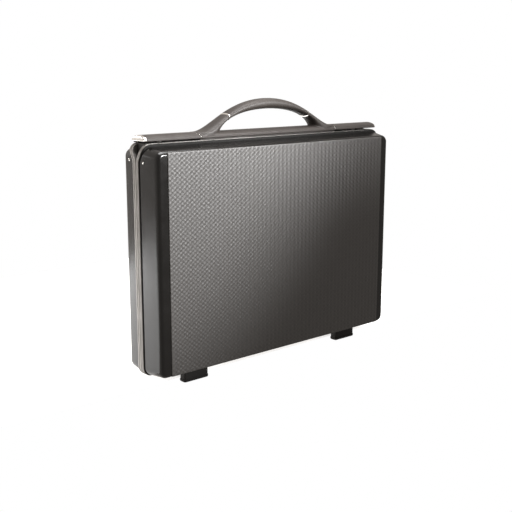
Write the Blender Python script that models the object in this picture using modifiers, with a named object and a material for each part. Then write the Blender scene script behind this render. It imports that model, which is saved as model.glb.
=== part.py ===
"""Hard-shell attache case: two moulded trays on a double aluminium frame, latch bar and fixed arch handle.

Metres, +Z up, X along the width, -Y towards the lid. Shapes are drawn in case coordinates, with y = 0 at
the seam between the two frames and z = 0 at the bottom of the moulded trays. The root empty then puts the
foot soles at z = 0 and the bounding box's centre over the origin.
"""
import math

import bmesh
import bpy
from mathutils import Matrix, Vector

# ---- driving dimensions: trays -------------------------------------------------------------------
HALF_WIDTH = 0.2275          # trays at their outer face
HEIGHT = 0.3128
LID_DEPTH = 0.0451           # seam to the lid's raised panel
BODY_DEPTH = 0.0375          # seam to the body's raised panel
CORNER_RADIUS = 0.0110
TIGHTEST_CORNER = 0.0045     # smallest radius on the tray's inner outlines
RIM_SIDE, RIM_LOW, RIM_TOP = 0.0030, 0.0025, 0.0044    # how far the rim stands out from the outer face
RIM_CORNER = CORNER_RADIUS + 0.0020
RIM_STRAIGHT = 0.0015        # first stretch of a tray's sides, before their draft starts
SHELL_WALL = 0.0026
EDGE_RADIUS = 0.0070         # rounding between a tray's sides and its outer face
EDGE_STEPS = 4
PANEL_HALF = 0.2106          # raised panel
PANEL_MARGIN = 0.0020        # panel edge below the tray's top and above its bottom
PANEL_RISE = 0.0017
PANEL_ROOT = 0.0023          # how far the panel's block reaches into the tray's wall
PANEL_BEVEL = 0.0012
GAP = 0.0003                 # between pieces that touch

# ---- frames and seal -----------------------------------------------------------------------------
RAIL_SIDE, RAIL_LOW, RAIL_TOP = 0.0044, 0.0044, 0.0084
RAIL_CORNER = CORNER_RADIUS + 0.0030
RAIL_ROUND = 0.0009
LID_RAIL, BODY_RAIL = 0.0055, 0.0078                   # rail widths along Y
FRAME_LEG = 0.0040           # leg that holds the tray's rim from inside
LEG_OUTER, LEG_INNER, WEB_INNER = 0.0053, 0.0066, 0.0086    # insets from the rim line
GASKET_WIDTH = 0.0014
GASKET_OUTER, GASKET_INNER = 0.0006, 0.0030            # insets from the rim line
LID_RIM = LID_RAIL + 2 * GAP + GASKET_WIDTH
BODY_RIM = BODY_RAIL + GAP
SPREAD = 0.0092              # how far each rail moves away from the seam along the top
SPREAD_LOW, SPREAD_HIGH = 0.294, 0.318

# ---- feet and rivets -----------------------------------------------------------------------------
FOOT_DROP = 0.0206
FOOT_INNER, FOOT_OUTER = 0.1323, 0.1757
FOOT_DEPTH = 0.0135
LID_FOOT_NEAR = 0.0120       # nearest side of the lid's feet to the seam
BODY_FOOT_NEAR = 0.0162      # the body's feet stand further back, clear of the lid's when it opens
FOOT_BEVEL = 0.0012
RIVET_RADIUS, RIVET_HEIGHT = 0.0017, 0.0011
LID_RIVET = (0.0160, 0.2965)     # distance from the seam, z
BODY_RIVET = (0.0170, 0.2985)

# ---- top bar and handle --------------------------------------------------------------------------
BAR_HALF = 0.0161            # half the bar's depth along Y
BAR_END = 0.2275
BAR_LIP_LOW, BAR_LIP_HIGH, BAR_RIDGE = 0.3238, 0.3262, 0.3322
BAR_SKIRT, BAR_SEAT, SEAT_HALF = 0.3216, 0.3198, 0.0082    # underside of the handle base
DOME_STEPS = 14
END_CAP = 0.2236             # inner face of the end cap
END_CAP_BEVEL = 0.0012
JOINT_X = 0.1380             # joint between latch cover and handle base, at the ridge
JOINT_SLANT = 0.0062 / BAR_HALF
TRIM_WIDTH = 0.0008
COVER_CLEAR = 0.0018         # the cover's start beyond the joint
BED_CLEAR = 0.0014
ARCH_TOP = 0.3759
ARCH_UNIT = 0.1              # the arch's outer line is a polynomial in x over this
ARCH_FALL = (0.0291, 0.0096, -0.0068)
GRIP_END, GRIP_HALF_DEPTH = 0.0780, 0.0118
GRIP_STEPS = 22
RING_WIDTH, RING_PROUD = 0.0013, 0.0004
WINDOW_HALF, WINDOW_LOW, WINDOW_RISE = 0.0935, 0.3290, 0.0315
LEG_STEPS = 7
LEG_ROOT = 0.0040            # where a handle leg's sunk end stops short of the joint
LEG_INSET = 0.0002           # leg inside the bar's sides
LEG_CLEAR = 0.0012
SCREW_X = (-0.112, 0.112)

# ---- carrier -------------------------------------------------------------------------------------
CARRIER_Z = (0.3165, 0.3195)
CARRIER_HALF = 0.2216
CARRIER_Y = (-0.0084, 0.0088)
PLUG_X = (0.2196, 0.2222)    # end plugs that stand in the V between the rails
PLUG_LEVELS = (0.3035, 0.3070, 0.3105, 0.3140, CARRIER_Z[0] + 0.0010)
PLUG_CLEAR = 0.0007
SCREW_HOLE, SCREW_BORE = 0.0018, 0.0017
HEAD_RADIUS, HEAD_HEIGHT = 0.0020, 0.0032
SHANK_RADIUS, SHANK_LENGTH, SHANK_CENTRE = 0.0014, 0.0095, 0.0035

# ---- latches -------------------------------------------------------------------------------------
LATCH_AXIS = (0.0100, 0.3290)     # y, z
COVER_WALL = 0.0018
COVER_REAR = 0.0078
COVER_END = 0.2232
COVER_SLIM = 0.0002          # crown of the cover's underside below its wall
BED_FLOOR = 0.0012
BED_STEP = 0.0066
RAIL_CLEAR = HEIGHT + RAIL_TOP + 0.0004
BED_SHOULDER = RAIL_CLEAR + 0.0014
BED_WALL = LATCH_AXIS[0] + 0.0022
BARREL, PIN_BORE, PIN_RADIUS = 0.0017, 0.0011, 0.0008
PIN_CENTRE, PIN_LENGTH = 0.1835, 0.0685
BED_TAB, COVER_TAB = (0.0026, 0.0020, -0.0003), (0.0030, 0.0012, 0.0004)    # reach, thickness, lift
BED_KNUCKLES = ((0.1500, 0.1570), (0.1800, 0.1860), (0.2100, 0.2170))
COVER_KNUCKLES = ((0.1574, 0.1640), (0.2030, 0.2096))
HOOK_X, HOOK_TIP = 0.1920, 0.3120
HOOK_HALF = 0.0035
HOOK_HEAD = (0.3279, 0.3292)      # z of the hook's upper strip
HOOK_BLADE = (0.0008, 0.0022)     # y of its blade
HOOK_FRONT = -0.0060
NOTCH_HALF, NOTCH_Y = 0.0060, (-0.012, 0.0034)    # opening that the hook swings through
KEEPER_HALF = 0.0120
KEEPER_LEG, KEEPER_TOP, KEEPER_END = 0.3088, 0.3158, 0.0056
KEEPER_WALL = 0.0014
SLOT_HALF, SLOT_Y = 0.0048, (-0.0040, 0.0026)
SPRING_X, SPRING_RADIUS, SPRING_WIRE = 0.1690, 0.0014, 0.0003
SPRING_TURNS, SPRING_PITCH, SPRING_LEG = 5, 0.0009, 0.0040

# ---- hinges and stays ----------------------------------------------------------------------------
HINGE_AXIS = (0.0, -0.0077)       # y, z
HINGE_CENTRE, HINGE_LENGTH = 0.105, 0.044
HINGE_KNUCKLES = 5
LEAF_Y, LEAF_THICK = (0.0029, 0.0090), 0.0012
KNUCKLE, KNUCKLE_BORE, HINGE_PIN = 0.0024, 0.0014, 0.0011
KNUCKLE_REACH, KNUCKLE_PLAY = 0.0040, 0.0002
STAY_RADIUS = 0.100               # bar length, and distance of both wall pivots from the hinge axis
STAY_SPLAY = math.radians(10.0)
STAY_X = 0.2172
STAY_HALF, STAY_THICK, STAY_LAYER = 0.0045, 0.0015, 0.0019
STAY_BORE, STAY_PIN, BOSS = 0.0017, 0.0013, 0.0030
BRACKET_X, BRACKET_THICK = 0.2224, 0.0012
BRACKET_HALF = (0.0055, 0.0110)   # along y, z
PIN_PROUD = 0.0006                # pin ends beyond the arm, and roots inside the bracket

# ---- interior ------------------------------------------------------------------------------------
LINING_WALL = 0.0012
LINING_CORNER = (0.0050, 0.0052)  # depth and inset of the lining's sloped edge
POCKET_HALF, POCKET_Z = 0.180, (0.030, 0.215)
POCKET_DEPTH, POCKET_WALL = 0.0080, 0.0012
POCKET_EDGE = 0.0015

SIDES = {-1: "left", 1: "right"}
ROOT_SHIFT = (0.0, (LID_DEPTH - BODY_DEPTH) / 2, FOOT_DROP)

# ---- colours: base colour, roughness, metallic ---------------------------------------------------
FINISHES = {
    "shell_black": ((0.045, 0.042, 0.040), 0.38, 0.0),
    "aluminium": ((0.62, 0.61, 0.58), 0.30, 1.0),
    "gasket_black": ((0.012, 0.012, 0.012), 0.7, 0.0),
    "handle_taupe": ((0.135, 0.115, 0.105), 0.42, 0.0),
    "foot_black": ((0.02, 0.019, 0.018), 0.6, 0.0),
    "carrier_black": ((0.025, 0.024, 0.023), 0.55, 0.0),
    "steel": ((0.50, 0.50, 0.50), 0.35, 1.0),
    "chrome": ((0.78, 0.77, 0.75), 0.15, 1.0),
    "lining_grey": ((0.10, 0.095, 0.09), 0.9, 0.0),
    "pocket_leather": ((0.03, 0.028, 0.027), 0.55, 0.0),
}


# ---- scene ---------------------------------------------------------------------------------------
def clear_scene():
    for obj in list(bpy.data.objects):
        bpy.data.objects.remove(obj, do_unlink=True)
    for old in list(bpy.data.collections):
        bpy.data.collections.remove(old)


def new_collection(name):
    made = bpy.data.collections.new(name)
    bpy.context.scene.collection.children.link(made)
    return made


clear_scene()
CASE = new_collection("attache_case")
CUTTERS = new_collection("cutters")
PIVOTS = {}
EMPTIES = {}


def add_pivot(name, pivot, parent=None):
    """An empty on a joint's axis, in case coordinates; the root carries the shift to the real frame."""
    empty = bpy.data.objects.new(name, None)
    CASE.objects.link(empty)
    PIVOTS[name] = Vector(pivot)
    EMPTIES[name] = empty
    if parent is None:
        empty.location = ROOT_SHIFT
    else:
        empty.parent = EMPTIES[parent]
        empty.location = PIVOTS[name] - PIVOTS[parent]
    return empty


def finish(name, finish_name):
    colour, roughness, metallic = FINISHES[finish_name]
    material = bpy.data.materials.new(name + "_" + finish_name)
    material.use_nodes = True
    shader = material.node_tree.nodes["Principled BSDF"]
    shader.inputs["Base Color"].default_value = (*colour, 1.0)
    shader.inputs["Roughness"].default_value = roughness
    shader.inputs["Metallic"].default_value = metallic
    material.diffuse_color = (*colour, 1.0)
    return material


def add_part(name, bm, body, finish_name, smooth_angle=35.0):
    """Turn a bmesh drawn in case coordinates into a node with its origin on its body's pivot."""
    bmesh.ops.translate(bm, verts=bm.verts, vec=-PIVOTS[body])
    bmesh.ops.recalc_face_normals(bm, faces=bm.faces)
    mesh = bpy.data.meshes.new(name)
    bm.to_mesh(mesh)
    bm.free()
    mesh.shade_smooth()
    mesh.set_sharp_from_angle(angle=math.radians(smooth_angle))
    mesh.materials.append(finish(name, finish_name))
    obj = bpy.data.objects.new(name, mesh)
    CASE.objects.link(obj)
    obj.parent = EMPTIES[body]
    return obj


def as_cutter(obj):
    CASE.objects.unlink(obj)
    CUTTERS.objects.link(obj)
    obj.hide_render = True
    obj.display_type = "WIRE"
    return obj


def boolean(obj, other, operation):
    modifier = obj.modifiers.new(operation.lower(), "BOOLEAN")
    modifier.operation = operation
    modifier.solver = "EXACT"
    modifier.object = as_cutter(other)


def bevel(obj, width, segments=2, angle=30.0):
    modifier = obj.modifiers.new("bevel", "BEVEL")
    modifier.width = width
    modifier.segments = segments
    modifier.limit_method = "ANGLE"
    modifier.angle_limit = math.radians(angle)
    return obj


# ---- shapes --------------------------------------------------------------------------------------
def block(x, y, z):
    """A box between three pairs of limits."""
    bm = bmesh.new()
    bmesh.ops.create_cube(bm, size=1.0)
    size = (x[1] - x[0], y[1] - y[0], z[1] - z[0])
    centre = Vector(((x[0] + x[1]) / 2, (y[0] + y[1]) / 2, (z[0] + z[1]) / 2))
    bmesh.ops.scale(bm, verts=bm.verts, vec=size)
    bmesh.ops.translate(bm, verts=bm.verts, vec=centre)
    return bm


def rod(centre, length, radius, axis="X", sides=16):
    """A round bar of one length, centred on a point and lying along one axis."""
    bm = bmesh.new()
    bmesh.ops.create_cone(bm, cap_ends=True, segments=sides, radius1=radius, radius2=radius, depth=length)
    turn = {"X": Matrix.Rotation(math.pi / 2, 4, "Y"), "Y": Matrix.Rotation(math.pi / 2, 4, "X"),
            "Z": Matrix.Identity(4)}[axis]
    bmesh.ops.transform(bm, matrix=turn, verts=bm.verts)
    bmesh.ops.translate(bm, verts=bm.verts, vec=centre)
    return bm


def loft(rings, caps=False, around=False):
    """Skin a list of equal closed rings, capped at both ends or joined last to first."""
    bm = bmesh.new()
    rows = [[bm.verts.new(point) for point in ring] for ring in rings]
    pairs = list(zip(rows, rows[1:]))
    if around:
        pairs.append((rows[-1], rows[0]))
    count = len(rows[0])
    for first, second in pairs:
        for i in range(count):
            j = (i + 1) % count
            bm.faces.new((first[i], first[j], second[j], second[i]))
    if caps:
        bm.faces.new(rows[0])
        bm.faces.new(rows[-1])
    return bm


def prism(outline, x0, x1):
    """Extrude a flat outline of (y, z) points along X."""
    bm = bmesh.new()
    face = bm.faces.new([bm.verts.new((x0, y, z)) for y, z in outline])
    grown = bmesh.ops.extrude_face_region(bm, geom=[face])
    moved = [item for item in grown["geom"] if isinstance(item, bmesh.types.BMVert)]
    bmesh.ops.translate(bm, verts=moved, vec=(x1 - x0, 0, 0))
    return bm


def slice_off(bm, point, normal):
    """Cut away everything on the normal's side of a plane and close the cut."""
    cut = bmesh.ops.bisect_plane(bm, geom=bm.verts[:] + bm.edges[:] + bm.faces[:], plane_co=point,
                                 plane_no=normal, clear_outer=True)
    edges = [item for item in cut["geom_cut"] if isinstance(item, bmesh.types.BMEdge)]
    bmesh.ops.contextual_create(bm, geom=edges)


def merge(*shapes):
    """Gather several bmeshes into one."""
    whole = bmesh.new()
    for shape in shapes:
        mesh = bpy.data.meshes.new("merge")
        shape.to_mesh(mesh)
        shape.free()
        whole.from_mesh(mesh)
        bpy.data.meshes.remove(mesh)
    return whole


# ---- the case outline ----------------------------------------------------------------------------
def outline(side, low, top, radius, steps=6):
    """Rounded rectangle in X-Z that stands out from the trays' outer face by side, low and top."""
    half, bottom, height = HALF_WIDTH + side, -low, HEIGHT + top
    centres = [(half - radius, bottom + radius, -90), (half - radius, height - radius, 0),
               (radius - half, height - radius, 90), (radius - half, bottom + radius, 180)]
    points = []
    for cx, cz, start in centres:
        arc = [math.radians(start + 90 * k / steps) for k in range(steps + 1)]
        corner = [(cx + radius * math.cos(a), cz + radius * math.sin(a)) for a in arc]
        if start == 0:
            points.append((half, SPREAD_LOW))
        points += corner
        if start == 90:
            points.append((-half, SPREAD_LOW))
    return points


def spread(z):
    """How far the rails stand off the seam at a height on their outer line."""
    t = min(1.0, max(0.0, (z - SPREAD_LOW) / (SPREAD_HIGH - SPREAD_LOW)))
    return SPREAD * t * t * (3 - 2 * t)


def spread_ring(sign, distance, points):
    """Give an outline its place along Y, with the same spread at each corner step as the rails."""
    rail = outline(RAIL_SIDE, RAIL_LOW, RAIL_TOP, RAIL_CORNER)
    return [(px, sign * (distance + spread(rz)), pz) for (px, pz), (_, rz) in zip(points, rail)]


def front_ring(y, inset=0.0):
    points = outline(-inset, -inset, -inset, max(CORNER_RADIUS - inset, TIGHTEST_CORNER))
    return [(px, y, pz) for px, pz in points]


def rim_ring(sign, distance, inset=0.0):
    """Ring on the trays' rim line, which leaves the seam along the top."""
    points = outline(RIM_SIDE - inset, RIM_LOW - inset, RIM_TOP - inset, RIM_CORNER - inset)
    return spread_ring(sign, distance, points)


def rail_ring(sign, distance, inset=0.0):
    points = outline(RAIL_SIDE - inset, RAIL_LOW - inset, RAIL_TOP - inset, RAIL_CORNER - inset)
    return spread_ring(sign, distance, points)


# ---- trays, frames, seal -------------------------------------------------------------------------
def open_tray(rings):
    """Surface of rings whose last one is closed by a face; a Solidify gives it its wall."""
    bm = loft(rings)
    bm.verts.ensure_lookup_table()
    bm.faces.new(bm.verts[-len(rings[-1]):])
    return bm


def add_wall(obj, thickness):
    solid = obj.modifiers.new("wall", "SOLIDIFY")
    solid.thickness = thickness
    solid.offset = -1.0
    solid.use_even_offset = True


def tray(name, body, sign, depth, rim):
    """Moulded shell: drafted sides, rounded edge and a raised panel on its outer face."""
    face = depth - PANEL_RISE
    rings = [rim_ring(sign, rim), rim_ring(sign, rim + RIM_STRAIGHT)]
    for k in range(EDGE_STEPS + 1):
        a = math.radians(90 * k / EDGE_STEPS)
        rings.append(front_ring(sign * (face - EDGE_RADIUS + EDGE_RADIUS * math.sin(a)),
                                EDGE_RADIUS * (1 - math.cos(a))))
    shell = add_part(name, open_tray(rings), body, "shell_black")
    add_wall(shell, SHELL_WALL)
    y_pair = sorted((sign * (face - PANEL_ROOT), sign * depth))
    panel = block((-PANEL_HALF, PANEL_HALF), y_pair, (PANEL_MARGIN, HEIGHT - PANEL_MARGIN))
    panel = bevel(add_part(name + "_panel", panel, body, "shell_black"), PANEL_BEVEL)
    boolean(shell, panel, "UNION")
    return shell


def frame(name, body, sign, width):
    """Rail round the whole seam with a leg behind the tray's rim; it runs round the V at the top."""
    near, far, leg_far = GAP, width, width + FRAME_LEG
    rings = [rail_ring(sign, near, RAIL_ROUND), rail_ring(sign, near + RAIL_ROUND),
             rail_ring(sign, far - RAIL_ROUND), rail_ring(sign, far, RAIL_ROUND),
             rim_ring(sign, far, LEG_OUTER), rim_ring(sign, leg_far, LEG_OUTER),
             rim_ring(sign, leg_far, LEG_INNER), rim_ring(sign, far, LEG_INNER),
             rim_ring(sign, far, WEB_INNER), rim_ring(sign, near, WEB_INNER)]
    return add_part(name, loft(rings, around=True), body, "aluminium")


def gasket():
    near, far = LID_RAIL + GAP, LID_RAIL + GAP + GASKET_WIDTH
    rings = [rim_ring(-1, near, GASKET_INNER), rim_ring(-1, near, GASKET_OUTER),
             rim_ring(-1, far, GASKET_OUTER), rim_ring(-1, far, GASKET_INNER)]
    return add_part("lid_gasket", loft(rings, around=True), "lid", "gasket_black")


def lining(name, body, sign, depth, rim):
    """Padded lining pressed into a tray."""
    outer = SHELL_WALL + 2 * GAP
    floor = depth - PANEL_RISE - outer
    edge_depth, edge_inset = LINING_CORNER
    rings = [front_ring(sign * rim, outer), front_ring(sign * (floor - edge_depth), outer + GAP),
             front_ring(sign * floor, outer + edge_inset)]
    add_wall(add_part(name, open_tray(rings), body, "lining_grey"), LINING_WALL)


# ---- handle --------------------------------------------------------------------------------------
def dome(y, drop=0.0, half=BAR_HALF):
    """Height of the bar's crowned top at y."""
    rise = BAR_RIDGE - BAR_LIP_HIGH
    return BAR_LIP_HIGH - drop + rise * math.sqrt(max(0.0, 1 - (y / half) ** 2))


def dome_points(y0, y1, count, drop=0.0, half=BAR_HALF):
    ys = [y0 + (y1 - y0) * k / count for k in range(count + 1)]
    return [(y, dome(y, drop, half)) for y in ys]


def arch_outer(x):
    k = abs(x) / ARCH_UNIT
    return ARCH_TOP - sum(fall * k ** (2 * power + 2) for power, fall in enumerate(ARCH_FALL))


def arch_inner(x):
    return WINDOW_LOW + WINDOW_RISE * math.sqrt(max(0.0, 1 - (x / WINDOW_HALF) ** 2))


def arch_section(outer, inner, half_depth, sides=16, power=0.85):
    """Rounded ring between an outer and an inner point of the arch, both (x, z)."""
    middle = Vector(((outer[0] + inner[0]) / 2, 0, (outer[1] + inner[1]) / 2))
    reach = Vector((outer[0], 0, outer[1])) - middle
    ring = []
    for k in range(sides):
        a = 2 * math.pi * k / sides
        c, s = math.cos(a), math.sin(a)
        along = math.copysign(abs(c) ** power, c)
        across = math.copysign(abs(s) ** power, s)
        ring.append(middle + reach * along + Vector((0, half_depth * across, 0)))
    return ring


def grip_slice(x0, x1, count, proud=0.0):
    rings = []
    for k in range(count + 1):
        x = x0 + (x1 - x0) * k / count
        rings.append(arch_section((x, arch_outer(x) + proud), (x, arch_inner(x) - proud),
                                  GRIP_HALF_DEPTH + proud))
    return loft(rings, caps=True)


def leg(side):
    """Arch foot: fans out from the grip ring to the bar and sinks into it."""
    start = GRIP_END + RING_WIDTH + GAP
    angle0 = math.asin(start / WINDOW_HALF)
    bar_depth = BAR_HALF - LEG_INSET
    rings = []
    for k in range(LEG_STEPS + 1):
        t = k / LEG_STEPS
        xo = start + (JOINT_X - LEG_CLEAR - start) * t
        angle = angle0 + (math.pi / 2 - angle0) * t
        inner = (side * WINDOW_HALF * math.sin(angle), WINDOW_LOW + WINDOW_RISE * math.cos(angle))
        depth = GRIP_HALF_DEPTH + (bar_depth - GRIP_HALF_DEPTH) * t * t * (3 - 2 * t)
        rings.append(arch_section((side * xo, arch_outer(xo)), inner, depth))
    rings.append(arch_section((side * (JOINT_X - LEG_ROOT), BAR_LIP_HIGH), (side * WINDOW_HALF, BAR_LIP_LOW),
                              bar_depth))
    return loft(rings, caps=True)


def joint_cut(bm, side, beyond, keep_inside):
    """Cut a bar section on the slanted joint plane, some distance beyond it."""
    normal = Vector((side, -JOINT_SLANT, 0))
    slice_off(bm, (side * (JOINT_X + beyond), 0, 0), normal if keep_inside else -normal)


def closed_dome(low=BAR_LIP_LOW):
    """Section of the bar's crowned top, closed along a flat underside."""
    return [(-BAR_HALF, low)] + dome_points(-BAR_HALF, BAR_HALF, DOME_STEPS) + [(BAR_HALF, low)]


def build_handle():
    section = closed_dome(BAR_SKIRT)
    section += [(SEAT_HALF, BAR_SKIRT), (SEAT_HALF, BAR_SEAT), (-SEAT_HALF, BAR_SEAT),
                (-SEAT_HALF, BAR_SKIRT)]
    beyond_joint = JOINT_X + 0.022
    bar = prism(section, -beyond_joint, beyond_joint)
    for side in SIDES:
        joint_cut(bar, side, 0.0, True)
    base = add_part("handle_base", bar, "case", "handle_taupe")
    for side, label in SIDES.items():
        boolean(base, add_part("leg_" + label, leg(side), "case", "handle_taupe"), "UNION")
    bores = merge(*[rod((x, 0, BAR_SEAT), 0.014, SCREW_BORE, "Z", 12) for x in SCREW_X])
    boolean(base, add_part("base_bores", bores, "case", "handle_taupe"), "DIFFERENCE")
    grip_end = GRIP_END - GAP
    add_part("handle_grip", grip_slice(-grip_end, grip_end, GRIP_STEPS), "case", "handle_taupe")
    for side, label in SIDES.items():
        ring = grip_slice(side * GRIP_END, side * (GRIP_END + RING_WIDTH), 1, RING_PROUD)
        add_part("grip_ring_" + label, ring, "case", "chrome")
        trim = prism(closed_dome(), side * 0.12, side * beyond_joint)
        joint_cut(trim, side, GAP + TRIM_WIDTH, True)
        joint_cut(trim, side, GAP, False)
        add_part("joint_trim_" + label, trim, "case", "chrome")


# ---- carrier, latches ----------------------------------------------------------------------------
def tab(axis, radius, side, tongue, steps=10):
    """Knuckle outline: a round barrel about the axis with a flat tongue towards +Y or -Y."""
    reach, thickness, lift = tongue
    y0, z0 = axis
    arc = [math.radians(90 + 270 * k / steps) for k in range(steps + 1)]
    points = [(y0 + side * radius * math.cos(a), z0 + radius * math.sin(a)) for a in arc]
    points += [(y0 + side * reach, z0 + lift), (y0 + side * reach, z0 + lift + thickness)]
    return points


def about(side, centre, half):
    """Limits along X of a piece centred at a distance from the middle, on one side."""
    return sorted((side * (centre - half), side * (centre + half)))


def carrier_plug(side):
    rings = []
    for z in PLUG_LEVELS:
        y = spread(z) + GAP - PLUG_CLEAR
        x0, x1 = side * PLUG_X[1], side * PLUG_X[0]
        rings.append([(x0, -y, z), (x1, -y, z), (x1, y, z), (x0, y, z)])
    return loft(rings, caps=True)


def build_carrier():
    low = CARRIER_Z[0]
    plate = add_part("top_carrier", block((-CARRIER_HALF, CARRIER_HALF), CARRIER_Y, CARRIER_Z), "case",
                     "carrier_black")
    plugs = merge(*[carrier_plug(side) for side in SIDES])
    boolean(plate, add_part("carrier_plugs", plugs, "case", "carrier_black"), "UNION")
    notches = [block(about(side, HOOK_X, NOTCH_HALF), NOTCH_Y, (0.30, 0.33)) for side in SIDES]
    holes = [rod((x, 0, low), 0.02, SCREW_HOLE, "Z", 12) for x in SCREW_X]
    boolean(plate, add_part("carrier_cuts", merge(*notches, *holes), "case", "carrier_black"), "DIFFERENCE")
    for label, x in zip(SIDES.values(), SCREW_X):
        head = rod((x, 0, low - HEAD_HEIGHT / 2 + 0.0002), HEAD_RADIUS, HEAD_HEIGHT, "Z")
        head = add_part("handle_screw_" + label, head, "case", "steel")
        shank = rod((x, 0, low + SHANK_CENTRE), SHANK_LENGTH, SHANK_RADIUS, "Z", 12)
        boolean(head, add_part("screw_shank_" + label, shank, "case", "steel"), "UNION")


def add_knuckles(obj, shape, side, spans, body):
    """Join tabs to a plate and bore them for their pin."""
    tabs = merge(*[prism(shape, side * x0, side * x1) for x0, x1 in spans])
    boolean(obj, add_part(obj.name + "_tabs", tabs, body, "steel"), "UNION")
    bore = rod((side * PIN_CENTRE, *LATCH_AXIS), PIN_LENGTH + 0.0115, PIN_BORE, "X", 12)
    boolean(obj, add_part(obj.name + "_bore", bore, body, "steel"), "DIFFERENCE")


def build_latch_bed(side):
    """Fixed tray under a latch cover, with the rear wall that carries the pin."""
    low, (front, rear) = CARRIER_Z[1] + GAP, CARRIER_Y
    high = low + BED_FLOOR
    line = [(front, low), (rear, low), (rear, RAIL_CLEAR), (BAR_HALF, RAIL_CLEAR)]
    line += dome_points(BAR_HALF, BED_WALL, 4)
    line += [(BED_WALL, BED_SHOULDER), (COVER_REAR, BED_SHOULDER - 0.0002), (BED_STEP, high), (front, high)]
    bed = prism(line, side * 0.12, side * COVER_END)
    joint_cut(bed, side, BED_CLEAR, False)
    bed = add_part("latch_bed_" + SIDES[side], bed, "case", "handle_taupe")
    add_knuckles(bed, tab(LATCH_AXIS, BARREL, 1, BED_TAB), side, BED_KNUCKLES, "case")
    notch = block(about(side, HOOK_X, NOTCH_HALF), NOTCH_Y, (low - 0.001, high + 0.001))
    boolean(bed, add_part("bed_notch_" + SIDES[side], notch, "case", "steel"), "DIFFERENCE")


def build_latch_cover(side):
    """Hinged flap: crowned outside, hollow underneath, with the hook that reaches down to the lid."""
    body = "latch_" + SIDES[side]
    line = [(-BAR_HALF, BAR_LIP_LOW)] + dome_points(-BAR_HALF, COVER_REAR, 12)
    line += dome_points(COVER_REAR, -BAR_HALF + COVER_WALL, 12, COVER_WALL + COVER_SLIM,
                        BAR_HALF - COVER_WALL)
    line.append((-BAR_HALF + COVER_WALL, BAR_LIP_LOW))
    cover = prism(line, side * 0.12, side * COVER_END)
    joint_cut(cover, side, COVER_CLEAR, False)
    cover = add_part("latch_cover_" + SIDES[side], cover, body, "handle_taupe")
    add_knuckles(cover, tab(LATCH_AXIS, BARREL, -1, COVER_TAB), side, COVER_KNUCKLES, body)
    strip_low, strip_high = HOOK_HEAD
    front, back = HOOK_BLADE
    line = [(HOOK_FRONT, strip_low), (front, strip_low), (front, HOOK_TIP), (back, HOOK_TIP),
            (back, strip_high), (HOOK_FRONT, strip_high)]
    add_part("latch_hook_" + SIDES[side], prism(line, *about(side, HOOK_X, HOOK_HALF)), body, "steel")


def build_keeper(side):
    """Angle on the lid's frame, with the slot that holds the hook."""
    low, high = HOOK_TIP + 0.0005, HOOK_TIP + 0.0020
    front, back = -SPREAD, -SPREAD + KEEPER_WALL
    line = [(front, KEEPER_LEG), (back, KEEPER_LEG), (back, low), (KEEPER_END, low), (KEEPER_END, high),
            (back, high), (back, KEEPER_TOP), (front, KEEPER_TOP)]
    keeper = prism(line, *about(side, HOOK_X, KEEPER_HALF))
    keeper = add_part("lid_keeper_" + SIDES[side], keeper, "lid", "steel")
    slot = block(about(side, HOOK_X, SLOT_HALF), SLOT_Y, (low - 0.001, high + 0.001))
    boolean(keeper, add_part("keeper_slot_" + SIDES[side], slot, "lid", "steel"), "DIFFERENCE")


def build_latch(side):
    build_latch_bed(side)
    build_latch_cover(side)
    pin = rod((side * PIN_CENTRE, *LATCH_AXIS), PIN_LENGTH, PIN_RADIUS, "X", 12)
    add_part("latch_pin_" + SIDES[side], pin, "case", "steel")
    build_latch_spring(side)
    build_keeper(side)
    cap = add_part("bar_end_cap_" + SIDES[side], prism(closed_dome(), side * END_CAP, side * BAR_END), "case",
                   "chrome")
    bevel(cap, END_CAP_BEVEL, 2, 40)


def build_latch_spring(side):
    """Torsion spring on the latch pin, with one leg down on the bed."""
    name = "latch_spring_" + SIDES[side]
    steps = 8
    y0, z0 = LATCH_AXIS
    start, pitch = side * SPRING_X, side * SPRING_PITCH
    points = []
    for k in range(SPRING_TURNS * steps + 1):
        a = 2 * math.pi * k / steps
        points.append((start + pitch * k / steps, y0 + SPRING_RADIUS * math.cos(a),
                       z0 + SPRING_RADIUS * math.sin(a)))
    points.append((start + pitch * SPRING_TURNS, y0 + SPRING_RADIUS, z0 - SPRING_LEG))
    curve = bpy.data.curves.new(name, "CURVE")
    curve.dimensions = "3D"
    curve.bevel_depth = SPRING_WIRE
    curve.bevel_resolution = 1
    curve.use_fill_caps = True
    spline = curve.splines.new("POLY")
    spline.points.add(len(points) - 1)
    for point, place in zip(spline.points, points):
        point.co = (*place, 1.0)
    spring = bpy.data.objects.new(name, curve)
    curve.materials.append(finish(name, "steel"))
    CASE.objects.link(spring)
    spring.parent = EMPTIES["case"]


# ---- hinges, feet, stays, rivets -----------------------------------------------------------------
def build_hinge_leaf(side, body, sign, slots):
    centre, segment = side * HINGE_CENTRE, HINGE_LENGTH / HINGE_KNUCKLES
    left = centre - HINGE_LENGTH / 2
    high = -RAIL_LOW - GAP
    low = high - LEAF_THICK
    plate = block((left, left + HINGE_LENGTH), sorted(sign * y for y in LEAF_Y), (low, high))
    name = "hinge_leaf_" + ("body_" if body == "case" else "lid_") + SIDES[side]
    leaf = add_part(name, plate, body, "steel")
    shape = tab(HINGE_AXIS, KNUCKLE, sign, (KNUCKLE_REACH, LEAF_THICK, low - HINGE_AXIS[1]))
    spans = [(left + segment * k + KNUCKLE_PLAY, left + segment * (k + 1) - KNUCKLE_PLAY) for k in slots]
    tabs = merge(*[prism(shape, x0, x1) for x0, x1 in spans])
    boolean(leaf, add_part(name + "_tabs", tabs, body, "steel"), "UNION")
    bore = rod((centre, *HINGE_AXIS), HINGE_LENGTH + 0.01, KNUCKLE_BORE, "X", 12)
    boolean(leaf, add_part(name + "_bore", bore, body, "steel"), "DIFFERENCE")


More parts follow.
